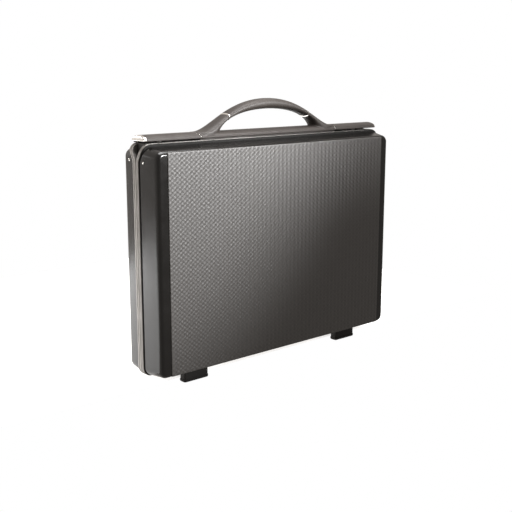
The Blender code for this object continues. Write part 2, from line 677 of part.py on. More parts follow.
def build_hinge(side):
    build_hinge_leaf(side, "case", 1, (0, 2, 4))
    build_hinge_leaf(side, "lid", -1, (1, 3))
    pin = rod((side * HINGE_CENTRE, *HINGE_AXIS), HINGE_LENGTH + 0.001, HINGE_PIN, "X", 12)
    add_part("hinge_pin_" + SIDES[side], pin, "case", "steel")


def draft_at(sign, y, rim_stand_out):
    """How far a tray's side stands out from its outer face, at a distance y from the seam."""
    depth, rim = (LID_DEPTH, LID_RIM) if sign < 0 else (BODY_DEPTH, BODY_RIM)
    straight, end = rim + RIM_STRAIGHT, depth - PANEL_RISE - EDGE_RADIUS
    return rim_stand_out * min(1.0, max(0.0, (end - y) / (end - straight)))


def build_feet(side):
    xs = sorted((side * FOOT_INNER, side * FOOT_OUTER))
    for name, body, sign, near in (("lid_foot_", "lid", -1, LID_FOOT_NEAR),
                                   ("body_foot_", "case", 1, BODY_FOOT_NEAR)):
        far = near + FOOT_DEPTH
        top_near, top_far = -draft_at(sign, near, RIM_LOW) - GAP, -draft_at(sign, far, RIM_LOW) - GAP
        line = [(sign * near, -FOOT_DROP), (sign * far, -FOOT_DROP), (sign * far, top_far),
                (sign * near, top_near)]
        bevel(add_part(name + SIDES[side], prism(line, *xs), body, "foot_black"), FOOT_BEVEL)


def stadium(start, end, half):
    """Flat bar outline with round ends between two (y, z) points."""
    direction = math.atan2(end[1] - start[1], end[0] - start[0])
    points = []
    for centre, turn in ((end, -90), (start, 90)):
        for k in range(9):
            a = direction + math.radians(turn + 180 * k / 8)
            points.append((centre[0] + half * math.cos(a), centre[1] + half * math.sin(a)))
    return points


def stay_points():
    """Wall pivots and elbow of a stay, as (y, z)."""
    across, up = STAY_RADIUS * math.sin(STAY_SPLAY), STAY_RADIUS * math.cos(STAY_SPLAY)
    y0, z0 = HINGE_AXIS
    return (y0 + across, z0 + up), (y0 - across, z0 + up), (y0, z0 + 2 * up)


def build_bracket(name, side, body, pivot, arm_faces):
    """Plate on a side wall with a boss and the pin that an arm turns on."""
    inner_face, outer_face = arm_faces
    half_y, half_z = BRACKET_HALF
    root = BRACKET_X - PIN_PROUD
    plate = block(sorted((side * (BRACKET_X - BRACKET_THICK), side * BRACKET_X)),
                  (pivot[0] - half_y, pivot[0] + half_y), (pivot[1] - half_z, pivot[1] + half_z))
    bracket = add_part(name, plate, body, "steel")
    for label, start, radius, sides in (("_boss", outer_face + GAP, BOSS, 16),
                                        ("_pin", inner_face - PIN_PROUD, STAY_PIN, 12)):
        shape = rod((side * (start + root) / 2, *pivot), root - start, radius, "X", sides)
        boolean(bracket, add_part(name + label, shape, body, "steel"), "UNION")


def build_stay(side):
    """Two equal arms, each as long as its wall pivot's distance from the hinge: a rhombus that folds."""
    label = SIDES[side]
    body_pivot, lid_pivot, elbow = stay_points()
    for prefix, body, pivot, layer in (("body_", "case", body_pivot, 0.0),
                                       ("lid_", "lid", lid_pivot, STAY_LAYER)):
        inner_face, outer_face = STAY_X - layer, STAY_X + STAY_THICK - layer
        arm_body = prefix + "stay_" + label
        arm = prism(stadium(pivot, elbow, STAY_HALF), side * outer_face, side * inner_face)
        arm = add_part(prefix + "stay_arm_" + label, arm, arm_body, "steel")
        bores = [rod((side * inner_face, *pivot), 0.01, STAY_BORE, "X", 12)]
        if body == "case":
            pin = rod((side * (STAY_X - 0.0010), *elbow), 0.0040, STAY_PIN, "X", 12)
            boolean(arm, add_part("elbow_pin_" + label, pin, arm_body, "steel"), "UNION")
        else:
            bores.append(rod((side * inner_face, *elbow), 0.01, STAY_BORE, "X", 12))
        boolean(arm, add_part(arm.name + "_bores", merge(*bores), arm_body, "steel"), "DIFFERENCE")
        build_bracket(prefix + "stay_bracket_" + label, side, body, pivot, (inner_face, outer_face))


def build_rivets(side):
    for name, body, sign, (y, z) in (("lid_rivet_", "lid", -1, LID_RIVET),
                                     ("body_rivet_", "case", 1, BODY_RIVET)):
        x = HALF_WIDTH + draft_at(sign, y, RIM_SIDE) + 2 * GAP + RIVET_HEIGHT / 2
        rivet = rod((side * x, sign * y, z), RIVET_HEIGHT, RIVET_RADIUS, "X", 12)
        bevel(add_part(name + SIDES[side], rivet, body, "chrome"), 0.0004, 1, 60)


# ---- interior ------------------------------------------------------------------------------------
def build_interior():
    """Padded linings in both trays and a flat pouch, open at its top, on the lid's."""
    lining("lid_lining", "lid", -1, LID_DEPTH, LID_RAIL + SPREAD + 3 * GAP)
    lining("body_lining", "case", 1, BODY_DEPTH, BODY_RAIL + SPREAD + 3 * GAP)
    back = LID_DEPTH - PANEL_RISE - SHELL_WALL - 3 * GAP - LINING_WALL
    low, high = POCKET_Z
    inner_half = POCKET_HALF - POCKET_EDGE
    pouch = block((-POCKET_HALF, POCKET_HALF), (-back, -back + POCKET_DEPTH), POCKET_Z)
    pouch = add_part("lid_pocket", pouch, "lid", "pocket_leather")
    hollow = block((-inner_half, inner_half), (-back + POCKET_WALL, -back + POCKET_DEPTH - POCKET_WALL),
                   (low + POCKET_EDGE, high + 0.015))
    boolean(pouch, add_part("pocket_hollow", hollow, "lid", "pocket_leather"), "DIFFERENCE")


def build():
    add_pivot("case", (0, 0, 0))
    add_pivot("lid", (0, *HINGE_AXIS), "case")
    body_pivot, lid_pivot, _ = stay_points()
    for side, label in SIDES.items():
        add_pivot("latch_" + label, (side * HOOK_X, *LATCH_AXIS), "case")
        add_pivot("body_stay_" + label, (side * STAY_X, *body_pivot), "case")
        add_pivot("lid_stay_" + label, (side * STAY_X, *lid_pivot), "lid")
    tray("lid_shell", "lid", -1, LID_DEPTH, LID_RIM)
    tray("body_shell", "case", 1, BODY_DEPTH, BODY_RIM)
    frame("lid_frame", "lid", -1, LID_RAIL)
    frame("body_frame", "case", 1, BODY_RAIL)
    gasket()
    build_interior()
    build_handle()
    build_carrier()
    for side in SIDES:
        build_latch(side)
        build_hinge(side)
        build_feet(side)
        build_stay(side)
        build_rivets(side)


build()
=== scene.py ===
"""Looks of the hard-shell attache case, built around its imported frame.

Shapes are drawn in case coordinates, as in the CAD source: y = 0 at the seam between the two frames,
z = 0 at the bottom of the trays, the lid towards -Y. `piece` moves them to the frame's own coordinates.
"""
import math

import bmesh
import bpy
import numpy as np
from mathutils import Matrix, Vector


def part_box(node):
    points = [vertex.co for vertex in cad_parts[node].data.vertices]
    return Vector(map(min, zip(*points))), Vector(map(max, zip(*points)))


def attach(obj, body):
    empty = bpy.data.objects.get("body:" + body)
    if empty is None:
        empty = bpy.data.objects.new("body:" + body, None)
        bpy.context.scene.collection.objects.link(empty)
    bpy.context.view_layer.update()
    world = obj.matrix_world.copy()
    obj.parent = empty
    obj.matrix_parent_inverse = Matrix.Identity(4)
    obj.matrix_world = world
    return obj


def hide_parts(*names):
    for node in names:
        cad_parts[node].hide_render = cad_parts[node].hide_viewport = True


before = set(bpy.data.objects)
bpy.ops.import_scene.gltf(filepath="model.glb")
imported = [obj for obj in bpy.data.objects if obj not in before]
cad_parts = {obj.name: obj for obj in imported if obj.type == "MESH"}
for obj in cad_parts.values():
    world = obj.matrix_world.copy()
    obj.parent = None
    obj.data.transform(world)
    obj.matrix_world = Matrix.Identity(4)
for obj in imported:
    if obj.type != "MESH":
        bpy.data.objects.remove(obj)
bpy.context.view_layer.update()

# ---- dimensions: the frame's boxes, and the outline's own radii and stand-outs -----------------------
GAP = 0.0003
RIM_SIDE, RIM_LOW, RIM_TOP = 0.0030, 0.0025, 0.0044
RAIL_SIDE, RAIL_LOW, RAIL_TOP = 0.0044, 0.0044, 0.0084
LID_LOW, LID_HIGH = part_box("lid_shell")
BODY_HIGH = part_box("body_shell")[1]
SEAM_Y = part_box("lid_frame")[1].y + GAP
BASE_Z = LID_LOW.z + RIM_LOW
SHIFT = Vector((0.0, SEAM_Y, BASE_Z))
HALF_WIDTH = LID_HIGH.x - RIM_SIDE
HEIGHT = LID_HIGH.z - BASE_Z - RIM_TOP
LID_DEPTH, BODY_DEPTH = SEAM_Y - LID_LOW.y, BODY_HIGH.y - SEAM_Y
CORNER_RADIUS, TIGHTEST_CORNER = 0.0110, 0.0045
RIM_CORNER, RAIL_CORNER = CORNER_RADIUS + 0.0020, CORNER_RADIUS + 0.0030
RIM_STRAIGHT = 0.0015
SHELL_WALL, EDGE_RADIUS = 0.0026, 0.0070
LID_RAIL, BODY_RAIL = 0.0055, 0.0078
GASKET_WIDTH, GASKET_BACK = 0.0014, 0.0006
LID_RIM, BODY_RIM = LID_RAIL + 2 * GAP + GASKET_WIDTH, BODY_RAIL + GAP
SPREAD, SPREAD_LOW, SPREAD_HIGH = 0.0092, 0.294, 0.318
PANEL_HALF, PANEL_MARGIN, PANEL_RISE, PANEL_ROOT, PANEL_BEVEL = 0.2106, 0.0020, 0.0017, 0.0023, 0.0009
GRAIN_X, GRAIN_Z, GRAIN_DEPTH, GRAIN_COLUMNS = 0.0080, 0.0064, 0.00095, 0.60
GRAIN_STEPS_X, GRAIN_STEPS_Z, GRAIN_FADE = 6, 5, 0.0022
BAR_HALF, BAR_END, END_CAP = 0.0161, 0.2275, 0.2236
BAR_LIP_LOW, BAR_LIP_HIGH, BAR_RIDGE = 0.3238, 0.3262, 0.3322
BAR_SKIRT, BAR_SEAT, SEAT_HALF = 0.3216, 0.3198, 0.0082
JOINT_X, JOINT_SLANT = 0.1380, 0.0062 / BAR_HALF
JOINT_BEFORE, JOINT_AFTER = 0.12, 0.16  # the shapes' ends before the slanted cuts trim them
LEG_END, LEG_SUNK = JOINT_X - 0.0012, JOINT_X - 0.0040
ARCH_TOP, ARCH_UNIT, ARCH_FALL = 0.3759, 0.1, (0.0291, 0.0096, -0.0068)
GRIP_END, GRIP_HALF_DEPTH = 0.0780, 0.0118
RING_WIDTH, RING_PROUD, TRIM_WIDTH = 0.0013, 0.0004, 0.0011
WINDOW_HALF, WINDOW_LOW, WINDOW_RISE = 0.0935, 0.3290, 0.0315
LATCH_AXIS = (0.0100, 0.3290)
COVER_WALL, COVER_REAR, COVER_END, COVER_CLEAR = 0.0018, 0.0078, 0.2232, 0.0018
SIDES = {-1: "left", 1: "right"}
# Stage: table, room light, lamps and camera.
TABLE_X, TABLE_Y, TABLE_TONE, TABLE_GLOW = (-0.95, 0.60), (0.004, 0.75), 0.80, 0.72
ROOM_DIM, ROOM_BRIGHT, ROOM_FADE = 0.31, 0.80, (-0.3, 0.6)
ROOM_COLOUR, ROOM_TOWARDS = (1.0, 0.93, 0.87), (-0.5, 0.86, 0.0)
KEY_PLACE, KEY_SOFTNESS, KEY_EDGE = (0.92, -2.14, 1.04), 0.10, 0.40
KEYS = {"key_left": (540, (-0.43, -0.04, 0.47), 25), "key_right": (240, (0.15, -0.04, 0.62), 17)}
TOP, TOP_PLACE, TOP_SIZE = 45, (0.1, -0.3, 1.7), 1.2
BACK, BACK_PLACE, BACK_SIZE = 6.5, (-0.62, 0.60, 0.38), 0.2
CAMERA_PLACE, CAMERA_YAW, CAMERA_PITCH = (-0.8839, -0.9927, 0.4394), 0.7147, -0.2089
CAMERA_LENS, CAMERA_SENSOR = 62.24, 36.0
# Steps round a corner, up the sides where the rails part, and over a tray's edge.
CORNER_STEPS, SIDE_STEPS, EDGE_STEPS = 12, 6, 9
# Profiles. Tray rim and rail leg: (distance past the rim or rail, inset from the rim line).
RIM_LIP = ((RIM_STRAIGHT, 0.0), (0.0006, 0.0), (0.0002, 0.0002), (0.0, 0.0006),
           (0.0, SHELL_WALL - 0.0004), (0.0003, SHELL_WALL), (RIM_STRAIGHT, SHELL_WALL))
RAIL_INNER = 0.0086
RAIL_LEG = ((0.0, 0.0053), (0.0037, 0.0053), (0.0040, 0.0056), (0.0040, 0.0063),
            (0.0037, 0.0066), (0.0, 0.0066), (0.0, RAIL_INNER))
RAIL_ROUND = 0.0009
CHANNEL_SPAN, CHANNEL_DEPTH, CHANNEL_SLOPE = (0.42, 0.62), 0.0005, 0.0003
# Bar's lower bead: (in from the bar's side, above its own low or high line).
LIP_UNDER = ((0.0030, -0.0002), (0.0007, 0.0), (0.0002, 0.0002), (0.0, 0.0007))
LIP_OVER = ((0.0, -0.0010), (0.0002, -0.0004), (0.0007, -0.0001), (0.0010, 0.0))
# Foot: (above its low or below its high face, inset). Rivet: (share of its height, share of its radius).
FOOT_RADIUS, FOOT_WAIST = 0.0026, 0.0005
FOOT_SOLE = ((0.0, 0.0014), (0.0004, 0.0006), (0.0014, 0.0), (0.0042, 0.0), (0.0046, FOOT_WAIST))
FOOT_HEAD = ((0.0030, FOOT_WAIST), (0.0026, 0.0), (0.0002, 0.0))
RIVET_DOME = ((0.0, 1.0), (0.25, 1.0), (0.45, 0.96), (0.65, 0.86), (0.82, 0.68), (0.94, 0.42),
              (1.0, 0.12))
# Lining's rolled rim: (below the rim, inset).
LINING_WALL, LINING_TURN = 0.0012, 0.0064
LINING_RIM = ((0.0012, 0.0), (0.0004, 0.0001), (0.0, 0.0006), (0.0004, 0.0011), (0.0012, LINING_WALL))
PAD_MARGIN, PAD_RISE, PAD_SEAM, PAD_EDGE, PAD_DRAWN_IN = 0.0110, 0.0022, 0.0105, 0.0050, 0.0016
POCKET_HALF, POCKET_LOW, POCKET_HIGH, POCKET_SKIN, POCKET_CORNER = 0.180, 0.030, 0.215, 0.0011, 0.012
STITCH_PITCH, STITCH_LENGTH, STITCH_LIFT, THREAD_RADIUS = 0.0040, 0.0027, 0.0002, 0.00028
KNUCKLES, KNUCKLE_RADIUS = ((0.1574, 0.1640), (0.2030, 0.2096)), 0.0017
KNUCKLE_TONGUE = (0.0030, 0.0012, 0.0004)
SPRING_START, SPRING_TURNS, SPRING_RADIUS, SPRING_PITCH, SPRING_WIRE = 0.1690, 5, 0.0014, 0.0009, 0.00030


# ---- materials -----------------------------------------------------------------------------------
def new_material(name, colour, roughness, metallic=0.0, **sockets):
    material = bpy.data.materials.new(name)
    material.use_nodes = True
    shader = material.node_tree.nodes["Principled BSDF"]
    shader.inputs["Base Color"].default_value = (*colour, 1.0)
    shader.inputs["Roughness"].default_value = roughness
    shader.inputs["Metallic"].default_value = metallic
    for socket, value in sockets.items():
        shader.inputs[socket.replace("_", " ")].default_value = value
    return material


class Nodes:
    """Adds linked nodes to one material; everything reads the piece's own coordinates in metres."""

    def __init__(self, material):
        self.tree = material.node_tree
        self.shader = self.tree.nodes["Principled BSDF"]
        self.place = self.add("ShaderNodeTexCoord").outputs["Object"]

    def add(self, kind, **settings):
        node = self.tree.nodes.new(kind)
        for key, value in settings.items():
            setattr(node, key, value)
        return node

    def link(self, source, target):
        self.tree.links.new(source, target)

    def stretched(self, scale):
        node = self.add("ShaderNodeMapping")
        node.inputs["Scale"].default_value = scale
        self.link(self.place, node.inputs["Vector"])
        return node.outputs["Vector"]

    def noise(self, size, detail=3.0, stretch=(1, 1, 1)):
        """Noise whose features measure about `size` metres."""
        node = self.add("ShaderNodeTexNoise")
        node.inputs["Scale"].default_value = 1.0 / size
        node.inputs["Detail"].default_value = detail
        node.inputs["Roughness"].default_value = 0.55
        self.link(self.stretched(stretch), node.inputs["Vector"])
        return node.outputs["Fac"]

    def cells(self, size, feature="F1"):
        """Distance in a pattern of cells about `size` metres across."""
        node = self.add("ShaderNodeTexVoronoi", feature=feature)
        node.inputs["Scale"].default_value = 1.0 / size
        self.link(self.place, node.inputs["Vector"])
        return node.outputs["Distance"]

    def wave(self, pitch, axis, distortion=0.0):
        node = self.add("ShaderNodeTexWave", bands_direction=axis)
        node.inputs["Scale"].default_value = 1.0 / (20 * pitch) * 6.2832
        node.inputs["Distortion"].default_value = distortion
        self.link(self.place, node.inputs["Vector"])
        return node.outputs["Fac"]

    def attribute(self, name):
        return self.add("ShaderNodeAttribute", attribute_name=name).outputs["Fac"]

    def span(self, value, low, high, start=0.0, end=1.0):
        """Map a value from start..end to low..high."""
        node = self.add("ShaderNodeMapRange")
        for socket, number in (("From Min", start), ("From Max", end), ("To Min", low), ("To Max", high)):
            node.inputs[socket].default_value = number
        self.link(value, node.inputs["Value"])
        return node.outputs["Result"]

    def sum(self, first, second, weight=1.0):
        scaled = self.add("ShaderNodeMath", operation="MULTIPLY")
        scaled.inputs[1].default_value = weight
        self.link(second, scaled.inputs[0])
        total = self.add("ShaderNodeMath", operation="ADD")
        self.link(first, total.inputs[0])
        self.link(scaled.outputs[0], total.inputs[1])
        return total.outputs[0]

    def times(self, first, second):
        node = self.add("ShaderNodeMath", operation="MULTIPLY")
        self.link(first, node.inputs[0])
        self.link(second, node.inputs[1])
        return node.outputs[0]

    def tint(self, value, *stops):
        """Colour ramp from (position, colour) stops into the base colour."""
        ramp = self.add("ShaderNodeValToRGB")
        marks = ramp.color_ramp.elements
        while len(marks) < len(stops):
            marks.new(0.5)
        for mark, (position, colour) in zip(marks, stops):
            mark.position = position
            mark.color = (*colour, 1.0)
        self.link(value, ramp.inputs["Fac"])
        self.link(ramp.outputs["Color"], self.shader.inputs["Base Color"])

    def gloss(self, value, low, high, start=0.3, end=0.7):
        self.link(self.span(value, low, high, start, end), self.shader.inputs["Roughness"])

    def bump(self, height, distance, strength=1.0):
        node = self.add("ShaderNodeBump")
        node.inputs["Distance"].default_value = distance
        node.inputs["Strength"].default_value = strength
        self.link(height, node.inputs["Height"])
        self.link(node.outputs["Normal"], self.shader.inputs["Normal"])


def shell_material():
    """Smooth satin moulding: faint haze and a very fine spark-eroded skin."""
    material = new_material("shell_satin", (0.005, 0.0045, 0.0041), 0.22, Specular_IOR_Level=0.45)
    nodes = Nodes(material)
    haze = nodes.noise(0.060, 4.0)
    nodes.tint(haze, (0.30, (0.004, 0.0036, 0.0033)), (0.70, (0.006, 0.0055, 0.0050)))
    nodes.gloss(nodes.noise(0.018, 5.0), 0.18, 0.26)
    nodes.bump(nodes.sum(nodes.noise(0.00055, 2.0), nodes.cells(0.0009), 0.4), 0.00002, 0.5)
    return material


def grain_material():
    """Moulded grain: hollows painted darker as shade and duller than the crowns, which are a little
    polished.
    """
    material = new_material("shell_grain", (0.012, 0.011, 0.010), 0.45, Specular_IOR_Level=1.0)
    nodes = Nodes(material)
    height = nodes.attribute("grain")
    # Painted shade: the hollows get a darker base colour than the crowns, mixed with random mottling.
    hollow_shade_and_mottle = nodes.sum(height, nodes.noise(0.0035, 4.0), 0.35)
    nodes.tint(hollow_shade_and_mottle, (0.25, (0.012, 0.0102, 0.0088)), (1.0, (0.029, 0.0250, 0.0220)))
    nodes.gloss(height, 0.56, 0.48, 0.0, 1.0)
    fine = nodes.sum(nodes.noise(0.0007, 3.0), nodes.cells(0.0011), 0.6)
    nodes.bump(nodes.sum(fine, nodes.noise(0.0032, 2.0), 2.5), 0.00010, 0.8)
    return material


def aluminium_material():
    """Satin-anodised extrusion, with fine draw lines along its length."""
    material = new_material("satin_aluminium", (0.42, 0.405, 0.385), 0.45, 1.0)
    nodes = Nodes(material)
    lines = nodes.noise(0.00035, 3.0, (0.02, 1, 0.02))
    nodes.tint(nodes.noise(0.030, 4.0), (0.30, (0.245, 0.235, 0.222)), (0.70, (0.315, 0.303, 0.290)))
    nodes.gloss(lines, 0.46, 0.62)
    nodes.bump(lines, 0.00003, 0.6)
    return material


def handle_material():
    """Warm grey moulded grip plastic with a leather-like skin."""
    material = new_material("grip_taupe", (0.042, 0.036, 0.0325), 0.50, Specular_IOR_Level=0.30)
    nodes = Nodes(material)
    nodes.tint(nodes.noise(0.025, 4.0), (0.30, (0.028, 0.0235, 0.0210)), (0.70, (0.038, 0.0322, 0.0290)))
    nodes.gloss(nodes.noise(0.006, 4.0), 0.46, 0.58)
    nodes.bump(nodes.sum(nodes.cells(0.0012), nodes.noise(0.0006, 2.0), 0.5), 0.00005, 0.5)
    return material


def rubber_material(name, colour, roughness, **sockets):
    """Dull moulded rubber, nylon or thread: mottled a little, with a fine skin."""
    material = new_material(name, colour, roughness, **sockets)
    nodes = Nodes(material)
    darker, lighter = tuple(0.8 * c for c in colour), tuple(1.3 * c for c in colour)
    nodes.tint(nodes.noise(0.008, 4.0), (0.30, darker), (0.75, lighter))
    nodes.gloss(nodes.noise(0.003, 3.0), roughness - 0.06, roughness + 0.08)
    nodes.bump(nodes.noise(0.0006, 3.0), 0.00006, 0.6)
    return material


def metal_material(name, colour, roughness, scratch):
    """Bright metal with faint scratches along X."""
    material = new_material(name, colour, roughness, 1.0)
    nodes = Nodes(material)
    darker = tuple(0.86 * c for c in colour)
    nodes.tint(nodes.noise(0.006, 5.0), (0.30, darker), (0.65, colour))
    nodes.gloss(nodes.noise(0.0016, 4.0, (0.15, 1, 1)), roughness * 0.8, roughness * 1.3)
    nodes.bump(nodes.noise(0.0005, 3.0, (0.1, 1, 1)), scratch, 0.5)
    return material


def lining_material():
    """Short-pile fabric: fine weave under a soft nap."""
    material = new_material("lining_fabric", (0.085, 0.080, 0.076), 0.92,
                            Sheen_Weight=0.35, Sheen_Roughness=0.5)
    nodes = Nodes(material)
    nap = nodes.sum(nodes.noise(0.012, 5.0), nodes.noise(0.0009, 3.0), 0.5)
    nodes.tint(nap, (0.45, (0.062, 0.058, 0.055)), (1.0, (0.112, 0.106, 0.100)))
    weave = nodes.times(nodes.wave(0.0009, "X", 0.4), nodes.wave(0.0009, "Z", 0.4))
    nodes.bump(nodes.sum(weave, nodes.noise(0.0006, 3.0), 0.8), 0.00014, 0.8)
    return material


def leather_material():
    """Embossed leathercloth: pebbles between fine creases, the creases painted darker as shade."""
    material = new_material("pocket_leathercloth", (0.022, 0.020, 0.019), 0.50)
    nodes = Nodes(material)
    pebble = nodes.cells(0.0016, "DISTANCE_TO_EDGE")
    # Painted shade: the creases between pebbles get a darker base colour, mixed with random mottling.
    nodes.tint(nodes.sum(pebble, nodes.noise(0.010, 4.0), 0.6),
               (0.25, (0.012, 0.011, 0.0105)), (0.80, (0.034, 0.031, 0.029)))
    nodes.gloss(nodes.noise(0.004, 3.0), 0.42, 0.58)
    creases = nodes.span(pebble, 0, 1, 0.0, 0.25)
    nodes.bump(nodes.sum(creases, nodes.noise(0.0004, 2.0), 0.3), 0.00018, 0.8)
    return material


MATERIALS = {
    "shell": shell_material(),
    "grain": grain_material(),
    "frame": aluminium_material(),
    "handle": handle_material(),
    "gasket": rubber_material("seal_rubber", (0.010, 0.0095, 0.009), 0.70, Specular_IOR_Level=0.15),
    "foot": rubber_material("foot_rubber", (0.010, 0.0092, 0.0086), 0.52, Specular_IOR_Level=0.30),
    "carrier": rubber_material("carrier_nylon", (0.022, 0.021, 0.020), 0.50),
    "chrome": metal_material("bright_chrome", (0.82, 0.80, 0.77), 0.16, 0.00001),
    "steel": metal_material("plated_steel", (0.56, 0.555, 0.54), 0.32, 0.00003),
    "lining": lining_material(),
    "pocket": leather_material(),
    "thread": rubber_material("waxed_thread", (0.13, 0.12, 0.11), 0.70),
}


# ---- pieces --------------------------------------------------------------------------------------
def outward_mesh(name, points, faces):
    """Mesh whose faces all look outwards."""
    mesh = bpy.data.meshes.new(name)
    mesh.from_pydata(points, [], faces)
    bm = bmesh.new()
    bm.from_mesh(mesh)
    bmesh.ops.recalc_face_normals(bm, faces=bm.faces)
    bm.to_mesh(mesh)
    bm.free()
    return mesh


def linked(name, data):
    """New object in the scene."""
    obj = bpy.data.objects.new(name, data)
    bpy.context.scene.collection.objects.link(obj)
    return obj


def piece(name, shape, body, material, replaces=(), sharp=38.0, attribute=None):
    """Make an object of a (points, faces) shape in case coordinates and let it ride on a body."""
    points, faces = shape
    mesh = outward_mesh(name, [tuple(Vector(point) + SHIFT) for point in points], faces)
    mesh.shade_smooth()
    mesh.set_sharp_from_angle(angle=math.radians(sharp))
    if attribute:
        label, values = attribute
        mesh.attributes.new(label, "FLOAT", "POINT").data.foreach_set("value", values)
    mesh.materials.append(MATERIALS[material])
    obj = linked(name, mesh)
    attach(obj, body)
    if replaces:
        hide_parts(*replaces)
    return obj


def bevelled(obj, width, angle=35.0):
    modifier = obj.modifiers.new("edges", "BEVEL")
    modifier.width = width
    modifier.segments = 2
    modifier.limit_method = "ANGLE"
    modifier.angle_limit = math.radians(angle)
    modifier.harden_normals = True
    return obj


def tube(rings, around=False):
    """Skin of equal closed rings, capped at its ends or joined last to first."""
    rows, count = len(rings), len(rings[0])
    points = [tuple(point) for ring in rings for point in ring]
    faces = []
    for r in range(rows if around else rows - 1):
        a, b = r * count, (r + 1) % rows * count
        faces += [(a + i, a + (i + 1) % count, b + (i + 1) % count, b + i) for i in range(count)]
    if not around:
        faces += [tuple(range(count)), tuple(range((rows - 1) * count, rows * count))]
    return points, faces


def joined(*shapes):
    points, faces = [], []
    for more_points, more_faces in shapes:
        start = len(points)
        points += list(more_points)
        faces += [tuple(i + start for i in face) for face in more_faces]
    return points, faces


def quarter(steps):
    """Angles from 0 to 90 degrees, in radians."""
    return [math.radians(90 * k / steps) for k in range(steps + 1)]


def grid(rows, columns):
    """Quads of a grid of points and its border in order, both as point numbers."""
    index = np.arange(rows * columns).reshape(rows, columns)
    quads = np.stack([index[:-1, :-1], index[:-1, 1:], index[1:, 1:], index[1:, :-1]], -1).reshape(-1, 4)
    border = np.concatenate([index[0, :-1], index[:-1, -1], index[-1, :0:-1], index[:0:-1, 0]])
    return quads, border


def prism(section, x0, x1):
    """A (y, z) outline drawn out along X."""
    return tube([[(x, y, z) for y, z in section] for x in (x0, x1)])


def cut(shape, *planes):
    """Cut away what lies on each (point, normal) plane's normal side and close the cuts."""
    bm = bmesh.new()
    verts = [bm.verts.new(point) for point in shape[0]]
    for face in shape[1]:
        bm.faces.new([verts[i] for i in face])
    bmesh.ops.recalc_face_normals(bm, faces=bm.faces)
    for point, normal in planes:
        everything = bm.verts[:] + bm.edges[:] + bm.faces[:]
        made = bmesh.ops.bisect_plane(bm, geom=everything, plane_co=point, plane_no=normal,
                                      clear_outer=True)
        edges = [item for item in made["geom_cut"] if isinstance(item, bmesh.types.BMEdge)]
        bmesh.ops.contextual_create(bm, geom=edges)
    bm.verts.index_update()
    cut_shape = [tuple(v.co) for v in bm.verts], [tuple(v.index for v in face.verts) for face in bm.faces]
    bm.free()
    return cut_shape


# ---- the case outline ----------------------------------------------------------------------------
def outline(side, low, top, radius):
    """Rounded rectangle in X-Z that stands out from the trays' outer face by side, low and top."""
    half, bottom, height = HALF_WIDTH + side, -low, HEIGHT + top
    corners = [(half - radius, bottom + radius, -90), (half - radius, height - radius, 0),
               (radius - half, height - radius, 90), (radius - half, bottom + radius, 180)]
    climb = [SPREAD_LOW + (height - radius - SPREAD_LOW) * k / SIDE_STEPS for k in range(SIDE_STEPS)]
    points = []
    for cx, cz, start in corners:
        arc = [math.radians(start + 90 * k / CORNER_STEPS) for k in range(CORNER_STEPS + 1)]
        if start == 0:
            points += [(half, z) for z in climb]
        points += [(cx + radius * math.cos(a), cz + radius * math.sin(a)) for a in arc]
        if start == 90:
            points += [(-half, z) for z in reversed(climb)]
    return points


def spread(z):
    """How far the rails stand off the seam at a height on their outer line."""
    t = min(1.0, max(0.0, (z - SPREAD_LOW) / (SPREAD_HIGH - SPREAD_LOW)))
    return SPREAD * t * t * (3 - 2 * t)


RAIL_LINE = outline(RAIL_SIDE, RAIL_LOW, RAIL_TOP, RAIL_CORNER)


def spread_ring(sign, distance, points):
    return [(x, sign * (distance + spread(rail_z)), z)
            for (x, z), (_, rail_z) in zip(points, RAIL_LINE)]


def front_ring(y, inset=0.0):
    """Flat ring round the trays' sides, drawn in by the inset."""
    points = outline(-inset, -inset, -inset, max(CORNER_RADIUS - inset, TIGHTEST_CORNER))
    return [(x, y, z) for x, z in points]


def rim_ring(sign, distance, inset=0.0):
    """Ring on the trays' rim line, which leaves the seam along the top."""
    points = outline(RIM_SIDE - inset, RIM_LOW - inset, RIM_TOP - inset, RIM_CORNER - inset)
    return spread_ring(sign, distance, points)


def rail_ring(sign, distance, inset=0.0):
    """Ring on the rails' outer line."""
    points = outline(RAIL_SIDE - inset, RAIL_LOW - inset, RAIL_TOP - inset, RAIL_CORNER - inset)
    return spread_ring(sign, distance, points)


# ---- trays ---------------------------------------------------------------------------------------
def tray(name, body, sign, depth, rim):
    """Moulded tray, outside and inside: softened rim, drafted sides, rounded edge, flat floor."""
    face = depth - PANEL_RISE
    rings = edge_rings(sign, face, 0.0, EDGE_RADIUS, EDGE_STEPS)[::-1]
    rings += [rim_ring(sign, rim + reach, inset) for reach, inset in RIM_LIP]
    rings += edge_rings(sign, face - SHELL_WALL, SHELL_WALL, EDGE_RADIUS - SHELL_WALL, EDGE_STEPS)
    piece(name + "_skin", tube(rings), body, "shell", [name])


def edge_rings(sign, face, inset, radius, steps):
    """Rings round a quarter turn, from a tray's side to its face."""
    return [front_ring(sign * (face - radius + radius * math.sin(a)), inset + radius * (1 - math.cos(a)))
            for a in quarter(steps)]


def grain(x, z):
    """Height of the grain, 0 to 1: staggered crowns, uneven and stronger on every other column."""
    columns = np.cos(2 * np.pi * x / GRAIN_X)
    rows = np.cos(2 * np.pi * z / GRAIN_Z)
    uneven = np.sin(x * 230 + 1.3 + 2 * np.sin(z * 41)) * np.sin(z * 197 + 0.4 + 2 * np.sin(x * 37))
    return 0.5 + 0.5 * (0.80 + 0.20 * uneven) * columns * (rows + GRAIN_COLUMNS) / (1 + GRAIN_COLUMNS)


def smooth_step(value, low, high):
    t = np.clip((value - low) / (high - low), 0.0, 1.0)
    return t * t * (3 - 2 * t)


